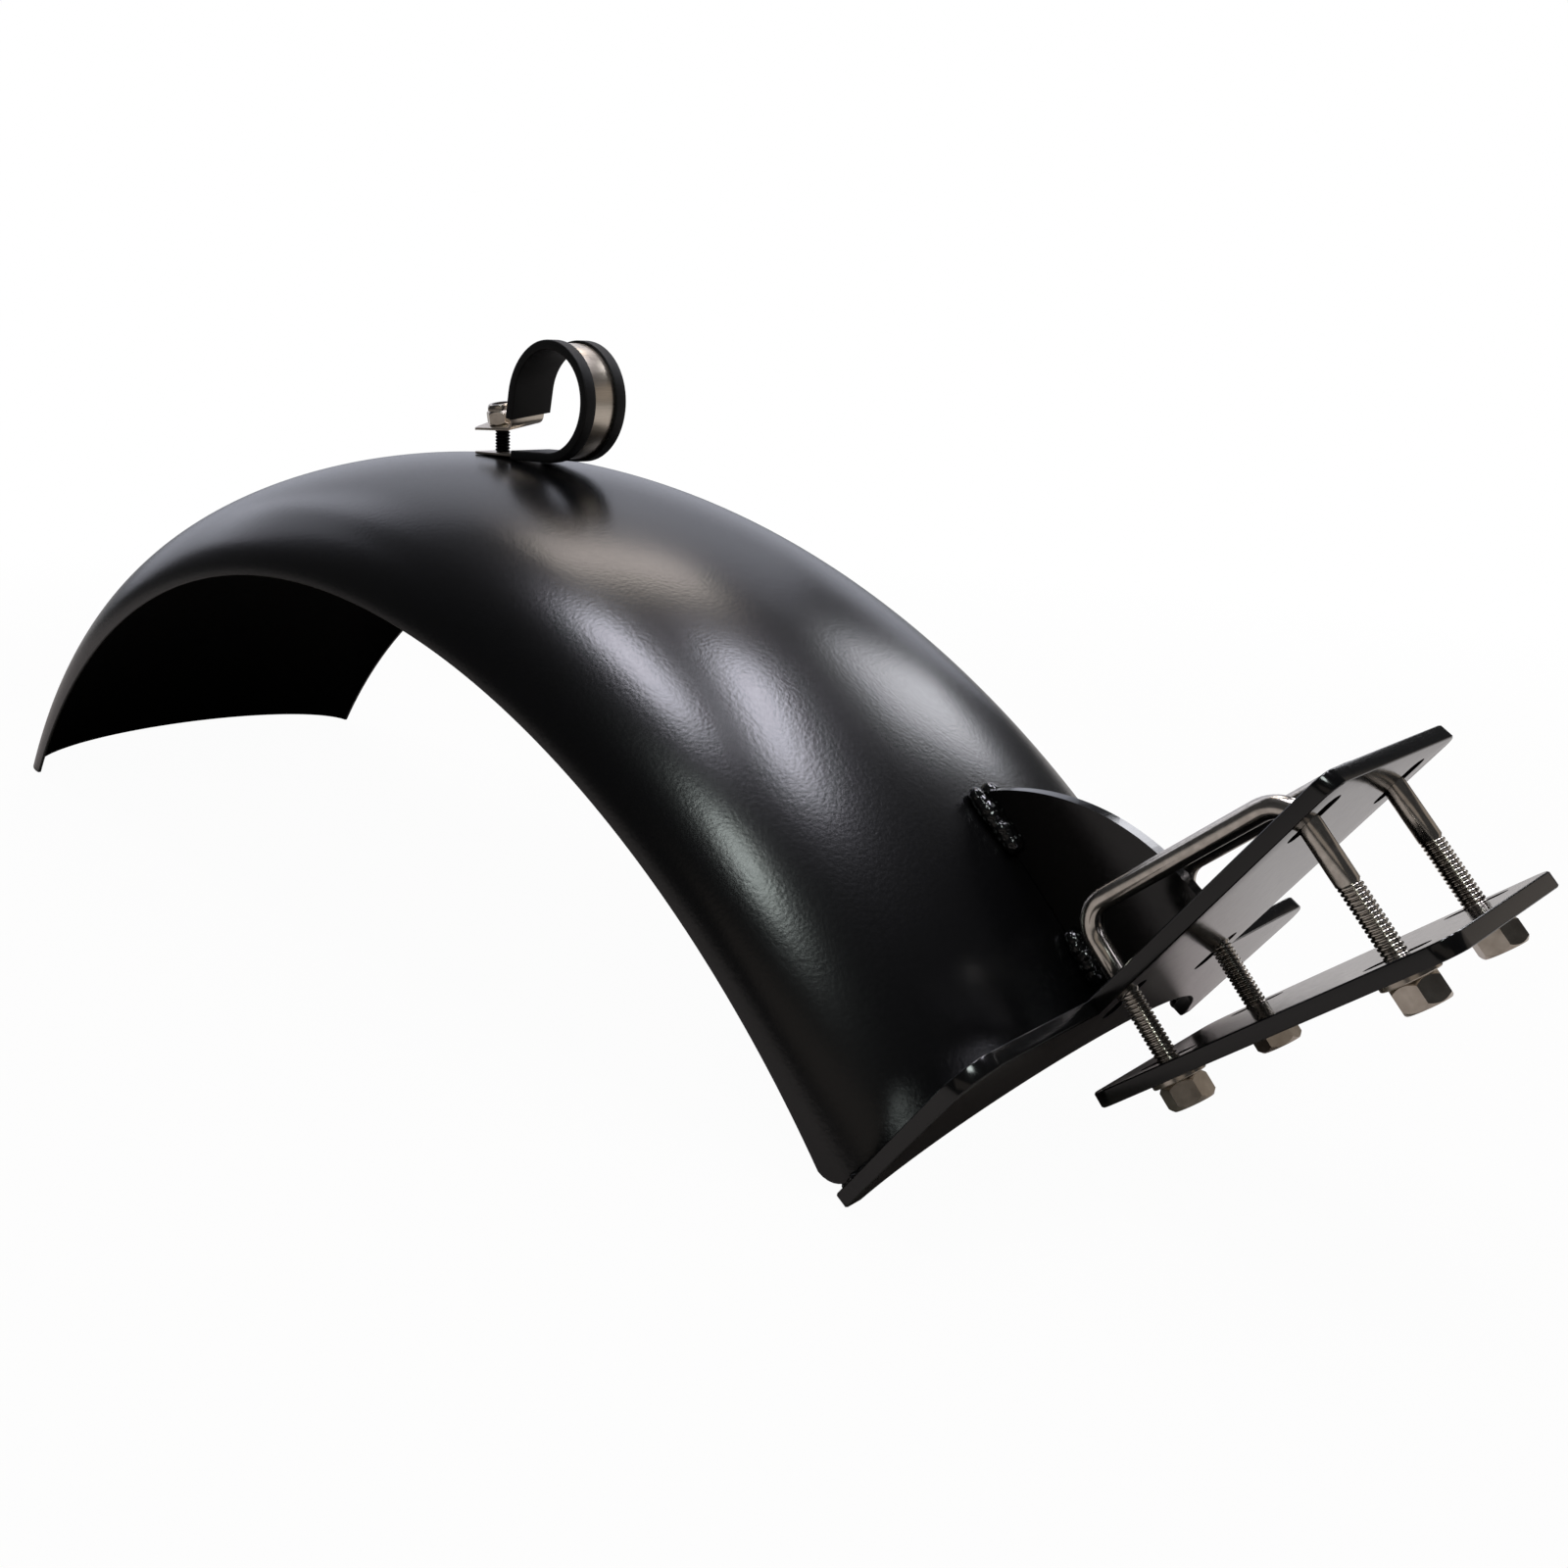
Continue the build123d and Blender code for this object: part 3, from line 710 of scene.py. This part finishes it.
# %% Seats for copies
def seats(name, places):
    """Loose points, each with the turn of the copy that it carries."""
    mesh = bpy.data.meshes.new(name)
    mesh.from_pydata([Vector(point) * MM for point, turn in places], [], [])
    facing = mesh.attributes.new("facing", "FLOAT_VECTOR", "POINT")
    for item, (point, turn) in zip(facing.data, places):
        item.vector = turn.to_euler()
    return mesh


def on_seats(tree, points, instance):
    """Copies of a shape on the seed's points, each turned as its point says."""
    facing = add_node(tree, "GeometryNodeInputNamedAttribute", {"Name": "facing"}, data_type="FLOAT_VECTOR")
    turn = add_node(tree, "FunctionNodeEulerToRotation", {"Euler": facing.outputs["Attribute"]})
    copies = {"Points": points, "Instance": instance, "Rotation": turn}
    return add_node(tree, "GeometryNodeInstanceOnPoints", copies)


def turned(axes, turn=0.0):
    """Rotation that lays a copy's axes along side-view directions, turned about its own axis."""
    origin, along, up = axes
    x, z = Vector((along[0], 0, along[1])), Vector((up[0], 0, up[1]))
    return Matrix((x, z.cross(x), z)).transposed() @ Matrix.Rotation(radians(turn), 3, "Z")


# %% Thread coils
THREAD_PITCH = 1.23
RIDGE = 0.5
coil_sizes = dict.fromkeys(("Pitch", "Length", "Radius", "Ridge"), "Float")
coil_tree, given = new_tree("thread_coil", **coil_sizes, Material="Material")
turns = add_node(coil_tree, "ShaderNodeMath", {0: given["Length"], 1: given["Pitch"]}, operation="DIVIDE")
helix = {
    "Resolution": 28,
    "Rotations": turns,
    "Start Radius": given["Radius"],
    "End Radius": given["Radius"],
    "Height": given["Length"],
}
helix = add_node(coil_tree, "GeometryNodeCurveSpiral", helix)
ridge = add_node(coil_tree, "GeometryNodeCurvePrimitiveCircle", {"Resolution": 8, "Radius": given["Ridge"]})
coil = {"Curve": helix, "Profile Curve": ridge, "Fill Caps": True}
coil = add_node(coil_tree, "GeometryNodeCurveToMesh", coil)
finish_tree(coil_tree, on_seats(coil_tree, given["Geometry"], coil), given["Material"])


def threads(name, places, radius, length, material):
    """Coils of thread that reach out to a radius, one on each seat."""
    return grow(
        name,
        coil_tree,
        seats(name + "_seats", places),
        Pitch=THREAD_PITCH * MM,
        Length=length * MM,
        Radius=(radius - RIDGE) * MM,
        Ridge=RIDGE * MM,
        Material=material,
    )


leg_end = -LEG_DEPTH + END_CHAMFER
leg_places = []
for side_name, side in SIDES:
    for end in (-1, 1):
        leg_places.append((spot(clamp_axes, end * half, side * LEG_OFFSET, leg_end), turned(clamp_axes)))
coils = threads("leg_threads", leg_places, ROD_RADIUS, THREAD_TOP - leg_end, drawn_rod)
u_bolt_mesh = joined("u_bolts", [*rods, coils])
add_piece("u_bolts", u_bolt_mesh, [drawn_rod], "stainless_rod", "u_bolt_right", "u_bolt_left")

# %% [markdown]
# ## Nuts and washers
# A nut is pressed hexagonal and its ends are turned to a cone, which leaves a curved arc on each flat.
# A hexagon could be cut by a cone, but drawn angle by angle, the arc comes by itself: each angle has the
# hexagon's radius, and its side stops where that radius meets the cone. One nut and one washer are
# drawn, and a tree copies them.

# %% Profiles of nuts
FACET_STEPS = 96
CONE = tan(radians(48))
CONE_INSET = 0.25
BORE_CHAMFER = 0.4
COLLAR_STEPS = 4
COLLAR_PLAY = 0.3
COLLAR_RECESS = 1.0


def lathe(name, profiles, sharp=25):
    """A closed ring of profiles, one for each angle, as (radius, height) loops."""
    corners = []
    for i, profile in enumerate(profiles):
        angle = 2 * pi * i / len(profiles)
        corners += [(r * cos(angle), r * sin(angle), h) for r, h in profile]
    count = len(profiles[0])
    faces = []
    for i in range(len(profiles)):
        a, b = i * count, (i + 1) % len(profiles) * count
        faces += [(a + k, b + k, b + (k + 1) % count, a + (k + 1) % count) for k in range(count)]
    return mesh_from(name, corners, faces, sharp)


def hex_facet(across_flats, i):
    """Radius of a hexagon at one facet step, and its end cone's radius and height there."""
    angle = 2 * pi * i / FACET_STEPS
    radius = across_flats / 2 / cos(angle % (pi / 3) - pi / 6)
    cone_radius = across_flats / 2 - CONE_INSET
    return radius, cone_radius, (radius - cone_radius) * CONE


def nut_profile(across_flats, height, bore, i, collar=None):
    """Section of a nut at one angle, with cones at both ends and, at will, a rounded collar on top."""
    radius, cone_radius, cone = hex_facet(across_flats, i)
    mouth = bore + BORE_CHAMFER
    profile = [(bore, BORE_CHAMFER), (mouth, 0), (cone_radius, 0), (radius, cone), (radius, height - cone)]
    if not collar:
        return profile + [(cone_radius, height), (mouth, height), (bore, height - BORE_CHAMFER)]
    collar_radius, top = collar
    for step in range(COLLAR_STEPS + 1):
        t = pi / 2 * step / COLLAR_STEPS
        inward = (cone_radius - collar_radius) * (1 - cos(t))
        profile.append((cone_radius - inward, height + (top - height) * sin(t)))
    recess = bore + COLLAR_PLAY
    return profile + [(recess, top), (recess, top - COLLAR_RECESS), (bore, top - COLLAR_RECESS)]


# %% Copies of a nut or washer
copy_tree, given = new_tree("copies", Pattern="Object", Material="Material")
pattern = add_node(copy_tree, "GeometryNodeObjectInfo", {"Object": given["Pattern"]}).outputs["Geometry"]
finish_tree(copy_tree, on_seats(copy_tree, given["Geometry"], pattern), given["Material"])


def copied(name, mesh, material, places):
    """Copies of one mesh on their seats."""
    pattern = new_object(name + "_pattern", mesh)
    copies = grow(name, copy_tree, seats(name + "_seats", places), Pattern=pattern, Material=material)
    bpy.data.objects.remove(pattern)
    return copies


# %% Nuts and washers of the clamp
NUT_FLATS = 11.6
WASHER_RADIUS = 7.5
WASHER_PLAY = 0.2
WASHER_EDGE = 0.25
FACE_TURN = -64.5
CORNER_TURN = -34.5
washer_profile = [
    (ROD_RADIUS + WASHER_PLAY, 0.0),
    (WASHER_RADIUS - WASHER_EDGE, 0.0),
    (WASHER_RADIUS, WASHER_EDGE),
    (WASHER_RADIUS, WASHER_THICKNESS - WASHER_EDGE),
    (WASHER_RADIUS - WASHER_EDGE, WASHER_THICKNESS),
    (ROD_RADIUS + WASHER_PLAY, WASHER_THICKNESS),
]
washer_level = -CLAMP_THICKNESS - WASHER_THICKNESS
nut = lathe("nut", [nut_profile(NUT_FLATS, NUT_HEIGHT, ROD_RADIUS, i) for i in range(FACET_STEPS)])
washer = lathe("washer", [washer_profile] * FACET_STEPS)
nut_seats, washer_seats = {}, {}
for side_name, side in SIDES:
    for end_name, end in (("rear", -1), ("front", 1)):
        x, y = end * half, side * LEG_OFFSET
        turn = turned(clamp_axes, -side * (FACE_TURN if end > 0 else CORNER_TURN))
        washer_seats[f"clamp_washer_{end_name}_{side_name}"] = spot(clamp_axes, x, y, washer_level), turn
        nut_seats[f"clamp_nut_{end_name}_{side_name}"] = spot(clamp_axes, x, y, -LEG_DEPTH), turn
nuts = copied("clamp_nuts", nut, pressed_nut, nut_seats.values())
washers = copied("clamp_washers", washer, pressed_nut, washer_seats.values())
add_piece("clamp_nuts", nuts, [pressed_nut], "stainless_hardware", *nut_seats)
add_piece("clamp_washers", washers, [pressed_nut], "stainless_hardware", *washer_seats)

# %% [markdown]
# ## Pipe clip
# The clip is a steel strip bent round a pipe, with a rubber channel pushed over it and two ears under
# a lock nut. A ring and two flat ears could be joined, but strip and channel follow one line, so each is
# a section carried along it. The free end twists when the nut pulls it down, so the upper ear tips a
# little sideways; the ears' corners are rounded.

# %% Sizes and places of the clip
CLIP_LEAN = -1.0
CLIP_SEAT_GAP = 0.1
CLIP_BORE_RADIUS = 19.0
LINING = 1.6
BAND_THICKNESS = 1.0
BAND_WIDTH = 16.5
LOOP_FORWARD = 51.1
LOOP_END_ANGLE = 170.0
EAR_GAP = 10.2
EAR_BEND_RADIUS = 3.0
EAR_REACH = 9.5
BOLT_FORWARD = 13.3
clip_tangent, clip_out = slope(-CLIP_LEAN)
clip_seat = tail_centre + polar(CLIP_LEAN, TAIL_RADIUS + CLIP_SEAT_GAP)
clip_axes = (clip_seat, clip_tangent, clip_out)
print("clip seat", rounded(clip_seat))

# %% The clip's line
LOOP_STEPS = 72
EAR_STEPS = 10
EAR_CORNER = 3.0
RUBBER_SHORT = 1.7
band_level = BAND_THICKNESS / 2
band_radius = CLIP_BORE_RADIUS + LINING + BAND_THICKNESS / 2
loop_centre = Vector((LOOP_FORWARD, band_level + band_radius))
ear_level = band_level + EAR_GAP + BAND_THICKNESS
ear_end = BOLT_FORWARD - EAR_REACH
run_turn = radians(LOOP_END_ANGLE - 90)
loop_run = bend(loop_centre, band_radius, -90, 90 + LOOP_END_ANGLE, LOOP_STEPS)
loop_end, run_left = loop_run[-1]
bend_top = ear_level + EAR_BEND_RADIUS * (1 - cos(run_turn))
run_end = loop_end - Vector((cos(run_turn), sin(run_turn))) * ((loop_end[1] - bend_top) / sin(run_turn))
rubber_end = run_end.lerp(loop_end, RUBBER_SHORT / (loop_end - run_end).length)
ear_bend_centre = run_end - run_left * EAR_BEND_RADIUS
ear_start = Vector((ear_bend_centre[0], ear_level))


def clip_line(start, whole):
    """The clip's line from a place on the lower ear, to the upper ear's end or only to the bend."""
    foot = Vector((start, band_level))
    corner = Vector((start + EAR_CORNER, band_level))
    runs = [
        straight(foot, corner, EAR_STEPS),
        straight(corner, Vector((LOOP_FORWARD, band_level)), EAR_STEPS),
        loop_run,
        straight(loop_end, run_end if whole else rubber_end, EAR_STEPS),
    ]
    if whole:
        sweep = 90 - LOOP_END_ANGLE
        corner = Vector((ear_end + EAR_CORNER, ear_level))
        runs += [
            bend(ear_bend_centre, EAR_BEND_RADIUS, LOOP_END_ANGLE - 180, sweep, EAR_STEPS),
            straight(ear_start, corner, EAR_STEPS),
            straight(corner, Vector((ear_end, ear_level)), EAR_STEPS),
        ]
    return chain(*runs)


TIP_ANGLE = 15.0
TIP_START = EAR_STEPS * 2 + LOOP_STEPS * 3 // 4
TIP_ROWS = EAR_STEPS * 6 + LOOP_STEPS - TIP_START


def clip_tip(row):
    """Sideways tip of the clip's free end, growing from past the loop's top to the upper ear's end."""
    return tan(radians(TIP_ANGLE)) * max(0.0, (row - TIP_START) / TIP_ROWS)


print("loop centre", rounded(loop_centre), "upper ear at", round(ear_level, 2))

# %% Steel strip with its ears
STRIP_EASE = 0.25
STRIP_EASE_STEPS = 2
strip_line = clip_line(ear_end, True)


def eased_loop(corners, steps=4):
    """A closed outline whose corners (across, inset, radius) are rounded off."""
    loop = []
    for i, (across, inset, radius) in enumerate(corners):
        here = Vector((across, inset))
        before = (Vector(corners[i - 1][:2]) - here).normalized()
        after = (Vector(corners[(i + 1) % len(corners)][:2]) - here).normalized()
        for step in range(steps + 1):
            t = step / steps
            loop.append(tuple(here + radius * ((1 - t) ** 2 * before + t**2 * after)))
    return loop


def strip_section(row):
    """The strip's section at a row, narrower by the ears' rounded corners."""
    point = strip_line[row][0]
    short = min(EAR_CORNER, max(0.0, ear_end + EAR_CORNER - point[0]))
    cut = EAR_CORNER - sqrt(EAR_CORNER**2 - short**2)
    y, n = BAND_WIDTH / 2 - cut, BAND_THICKNESS / 2
    outline = [(across, inset, STRIP_EASE) for across, inset in ((-y, -n), (y, -n), (y, n), (-y, n))]
    return eased_loop(outline, STRIP_EASE_STEPS)


strip = swept("clip_band_strip", carry(strip_line, clip_axes), strip_section, lean=clip_tip)
add_piece("clip_band_strip", strip, [brushed_strip], "clip_stainless", "clip_band")

# %% Rubber channel
LIP_HEIGHT = 1.1
LIP_COVER = 3.0
RUBBER_WIDTH = 20.6
RUBBER_START = 30.7
RUBBER_EASE = 0.7
LIP_EASE = 0.4
CREASE_EASE = 0.05
outer = RUBBER_WIDTH / 2
edge = BAND_WIDTH / 2
lip = edge - LIP_COVER
back = -BAND_THICKNESS / 2
front = BAND_THICKNESS / 2
half_channel = [
    (edge, front, CREASE_EASE),
    (edge, back, CREASE_EASE),
    (lip, back, CREASE_EASE),
    (lip, back - LIP_HEIGHT, LIP_EASE),
    (outer, back - LIP_HEIGHT, RUBBER_EASE),
    (outer, front + LINING, RUBBER_EASE),
]
other_half = [(-across, inset, ease) for across, inset, ease in reversed(half_channel)]
channel = eased_loop(half_channel + other_half)
channel_path = carry(clip_line(RUBBER_START, False), clip_axes)
channel_mesh = swept("clip_rubber_channel", channel_path, lambda row: channel, lean=clip_tip)
add_piece("clip_rubber_channel", channel_mesh, [rubber], "clip_rubber", "clip_rubber")

# %% Bolt of the clip
CLIP_BOLT_RADIUS = 3.0
CLIP_NUT_TURN = 30.0
NUT_TOP = 8.0
BOLT_HEAD_FLATS = 10.0
BOLT_HEAD_HEIGHT = 4.2
BOLT_END = 1.6
BOLT_CORE = CLIP_BOLT_RADIUS - THREAD_DEPTH
INNER_SEAT = 0.5
INNER_WASHER = 1.2
AXIS_GAP = 0.01
nut_level = ear_level + BAND_THICKNESS / 2
crown_below = CLIP_SEAT_GAP + TAIL_RADIUS - sqrt(TAIL_RADIUS**2 - BOLT_FORWARD**2)
head_level = -crown_below - SHEET - INNER_SEAT - INNER_WASHER
bolt_length = nut_level + NUT_TOP - BOLT_END - head_level
clip_turn = turned(clip_axes, CLIP_NUT_TURN)


def bolt_profile(i):
    """Section of the bolt at one angle: hexagon head below, core of the thread above."""
    radius, cone_radius, cone = hex_facet(BOLT_HEAD_FLATS, i)
    return [
        (AXIS_GAP, -BOLT_HEAD_HEIGHT),
        (cone_radius, -BOLT_HEAD_HEIGHT),
        (radius, cone - BOLT_HEAD_HEIGHT),
        (radius, 0.0),
        (BOLT_CORE, 0.0),
        (BOLT_CORE, bolt_length - END_CHAMFER),
        (BOLT_CORE - END_CHAMFER, bolt_length),
        (AXIS_GAP, bolt_length),
    ]


bolt = lathe("clip_bolt", [bolt_profile(i) for i in range(FACET_STEPS)])
bolt_seat = [(spot(clip_axes, BOLT_FORWARD, 0, head_level), clip_turn)]
# the whole bolt takes the near black steel that is painted shade
bolt_mesh = copied("clip_bolt_core", bolt, shaded_thread, bolt_seat)
bolt_coil = threads("clip_bolt_thread", bolt_seat, CLIP_BOLT_RADIUS, bolt_length - END_CHAMFER, shaded_thread)
bolt_piece = joined("clip_bolt_threaded", [bolt_mesh, bolt_coil])
add_piece("clip_bolt_threaded", bolt_piece, [shaded_thread], "stainless_hardware", "clip_bolt")

# %% Lock nut of the clip
CLIP_NUT_FLATS = 11.0
HEX_HEIGHT = 5.6
COLLAR_RADIUS = 4.4
NUT_TIP = 10.0
collar = (COLLAR_RADIUS, NUT_TOP)
lock_profiles = []
for i in range(FACET_STEPS):
    lock_profiles.append(nut_profile(CLIP_NUT_FLATS, HEX_HEIGHT, CLIP_BOLT_RADIUS, i, collar))
nut_turn = Matrix.Rotation(radians(NUT_TIP), 3, "X") @ clip_turn
nut_seat = [(spot(clip_axes, BOLT_FORWARD, 0, nut_level), nut_turn)]
lock_nut = copied("clip_lock_nut", lathe("lock_nut", lock_profiles), pressed_nut, nut_seat)
add_piece("clip_lock_nut", lock_nut, [pressed_nut], "stainless_hardware", "clip_nut")

# %% [markdown]
# ## Stage, light and camera
# The fender stands on a pale floor. Ceiling lamps, two windows and a few pale walls give the crown its
# separate soft highlights, while the rest of the room stays dim, so the black stays black. More light
# on everything would whiten the floor too, but it would also grey the paint. So the floor and the
# world are white only to the camera, and fainter in reflections.

# %% Floor
FLOOR_REACH = 6.0
FLOOR_DROP = 0.0004
# paper's fibres are too fine to show, so they are drawn coarser
FIBRE_MM = 1.1
NEAR_SHARE = 0.97
# size of the painted shadow under the fender in the floor's reflected white; NEAR_MIRROR is the painted
# shade on the near side
SHADE_LENGTH = 0.42
SHADE_WIDTH = 0.13
MIRROR_SHARE = 0.35
NEAR_MIRROR = 0.2
square = ((-1, -1), (1, -1), (1, 1), (-1, 1))
floor_corners = [(x * FLOOR_REACH, y * FLOOR_REACH, -FLOOR_DROP) for x, y in square]
floor_mesh = bpy.data.meshes.new("floor")
floor_mesh.from_pydata(floor_corners, [], [(0, 1, 2, 3)])
floor = new_object("floor", floor_mesh)
paper, tree, place = new_material("white_paper_floor")
floor_mesh.materials.append(paper)
print("floor", FLOOR_REACH * 2, "m")

# %% The floor as the camera sees it
rays = add_node(tree, "ShaderNodeLightPath").outputs
clear = {0: rays["Is Camera Ray"], 1: rays["Is Transmission Ray"]}
clear = add_node(tree, "ShaderNodeMath", clear, operation="MAXIMUM")
away = add_node(tree, "ShaderNodeVectorMath", {0: place}, operation="LENGTH").outputs["Value"]
white = {"Value": away, "From Min": 0.5, "From Max": 1.1, "To Min": NEAR_SHARE, "To Max": 1.0}
white = add_node(tree, "ShaderNodeMapRange", white)
plain = add_node(tree, "ShaderNodeMath", {0: clear, 1: white}, operation="MULTIPLY")
print("white to the camera from", NEAR_SHARE, "to 1")

# %% The floor in reflections
# the white that reflections see is painted out under the fender as a painted shadow, and painted darker
# towards the near side as painted shade
shade = {"Vector": place, "Scale": (1 / SHADE_LENGTH, 1 / SHADE_WIDTH, 0)}
shade = add_node(tree, "ShaderNodeMapping", shade)
rim = add_node(tree, "ShaderNodeVectorMath", {0: shade}, operation="LENGTH").outputs["Value"]
shaded_mirror_share = {"Value": rim, "From Min": 0.9, "From Max": 1.5, "To Min": 0.0, "To Max": MIRROR_SHARE}
shaded_mirror_share = add_node(tree, "ShaderNodeMapRange", shaded_mirror_share)
across = add_node(tree, "ShaderNodeSeparateXYZ", {"Vector": place}).outputs["Y"]
near_side_shade = {"Value": across, "From Min": -0.1, "From Max": 0.15, "To Min": NEAR_MIRROR, "To Max": 1.0}
near_side_shade = add_node(tree, "ShaderNodeMapRange", near_side_shade)
shaded_mirror_share = add_node(tree, "ShaderNodeMath", {0: shaded_mirror_share, 1: near_side_shade}, operation="MULTIPLY")
mirrored = add_node(tree, "ShaderNodeMath", {0: rays["Is Glossy Ray"], 1: shaded_mirror_share}, operation="MULTIPLY")
share = add_node(tree, "ShaderNodeMath", {0: plain, 1: mirrored}, operation="MAXIMUM")
fibre = add_node(tree, "ShaderNodeTexNoise", {"Vector": place, "Scale": 1 / (FIBRE_MM * MM), "Detail": 2.0})
tone = {FACTOR: fibre, DARK: linear("#aaa39c"), PALE: linear("#b4ada6")}
tone = add_node(tree, "ShaderNodeMix", tone, data_type="RGBA").outputs[MIXED]
matt = add_node(tree, "ShaderNodeBsdfDiffuse", {"Color": tone})
glow = add_node(tree, "ShaderNodeEmission", {"Color": linear("#ffffff"), "Strength": 1.0})
surface = add_node(tree, "ShaderNodeMixShader", {0: share, 1: matt, 2: glow})
add_node(tree, "ShaderNodeOutputMaterial", {"Surface": surface})
print(paper.name, len(tree.nodes), "nodes")

# %% Lamps
AIM = Vector((0.12, 0.0, 0.12))
CEILING = 1.5


def area(name, place, turn, width, height, radiance, tint):
    """An area lamp with an even glow, as bright as its radiance says whatever its size."""
    data = bpy.data.lights.new(name, "AREA")
    data.shape = "RECTANGLE"
    data.size, data.size_y = width, height
    data.energy = pi * width * height * radiance
    data.color = linear(tint)[:3]
    lamp = new_object(name, data)
    lamp.location = place
    lamp.rotation_euler = turn
    print(name, round(data.energy, 1), "W")


def ceiling(name, x, y, heading, width, height, radiance, tint):
    """A lamp in the ceiling, x and y metres from the aim, its width along a heading."""
    area(name, AIM + Vector((x, y, CEILING)), (0, 0, radians(heading)), width, height, radiance, tint)


def wall(name, azimuth, elevation, distance, width, height, radiance, tint):
    """A pale wall or window in a direction from the aim, facing it."""
    level = cos(radians(elevation))
    way = Vector((level * cos(radians(azimuth)), level * sin(radians(azimuth)), sin(radians(elevation))))
    turn = way.to_track_quat("Z", "Y").to_euler()
    area(name, AIM + way * distance, turn, width, height, radiance, tint)


# name, x, y, heading, width, height, radiance, tint
ceiling("ceiling_back", -0.71, 0.77, 71, 0.82, 0.38, 6.2, "#fff3ea")
ceiling("ceiling_middle", -0.15, -0.05, -15, 0.6, 0.28, 19, "#f3f2ff")
ceiling("ceiling_left", 0.22, 0.5, -33, 0.72, 0.27, 19, "#f3f2ff")
# name, azimuth, elevation, distance, width, height, radiance, tint
wall("window", 91.5, 32, 1.8, 0.46, 0.62, 6, "#f7f8ff")
wall("shop_front", -57, 53, 1.5, 0.26, 0.36, 16, "#f4fffb")
wall("wall_behind", 147, 13, 2.5, 4.2, 0.95, 0.85, "#eef1ff")
wall("wall_tail", 180, 26, 2.5, 1.2, 1.1, 0.72, "#eef1ff")
wall("wall_upper", 143, 37, 2.5, 2.5, 1.05, 0.92, "#eef1ff")
wall("wall_front", 50, 15, 2.5, 2.0, 1.0, 0.3, "#fff0e2")
wall("wall_near", -60, 17, 2.5, 3.0, 0.8, 0.25, "#fff0e2")

# %% World
SKY_SHARE = 0.035
ROOM_STRENGTH = 0.02
world = bpy.data.worlds.new("dim_room")
bpy.context.scene.world = world
world.use_nodes = True
tree = world.node_tree
tree.nodes.clear()
rays = add_node(tree, "ShaderNodeLightPath").outputs
clear = {0: rays["Is Camera Ray"], 1: rays["Is Transmission Ray"]}
clear = add_node(tree, "ShaderNodeMath", clear, operation="MAXIMUM")
faint = add_node(tree, "ShaderNodeMath", {0: rays["Is Glossy Ray"], 1: SKY_SHARE}, operation="MULTIPLY")
share = add_node(tree, "ShaderNodeMath", {0: clear, 1: faint}, operation="MAXIMUM")
room = add_node(tree, "ShaderNodeBackground", {"Color": linear("#f2f4ff"), "Strength": ROOM_STRENGTH})
white = add_node(tree, "ShaderNodeBackground", {"Color": linear("#ffffff"), "Strength": 1.0})
surface = add_node(tree, "ShaderNodeMixShader", {0: share, 1: room, 2: white})
add_node(tree, "ShaderNodeOutputWorld", {"Surface": surface})
print(world.name, len(tree.nodes), "nodes")

# %% Camera
CAMERA_PLACE = (448.097, -391.26, 220.53)
CAMERA_TURN = (74.407, -1.509, 47.830)
LENS_MM = 34.27
SENSOR_MM = 36.0
LENS_SHIFT = (0.1334, -0.0152)
camera_data = bpy.data.cameras.new("portrait")
camera_data.lens = LENS_MM
camera_data.sensor_width = SENSOR_MM
camera_data.shift_x, camera_data.shift_y = LENS_SHIFT
camera = new_object("portrait", camera_data)
# along X the camera was measured from the arcs' joint
camera.location = Vector((join[0] + CAMERA_PLACE[0], CAMERA_PLACE[1], CAMERA_PLACE[2])) * MM
camera.rotation_euler = [radians(angle) for angle in CAMERA_TURN]
bpy.context.scene.camera = camera
bpy.context.scene.view_settings.view_transform = "Standard"
print("camera at", rounded(camera.location, 4))
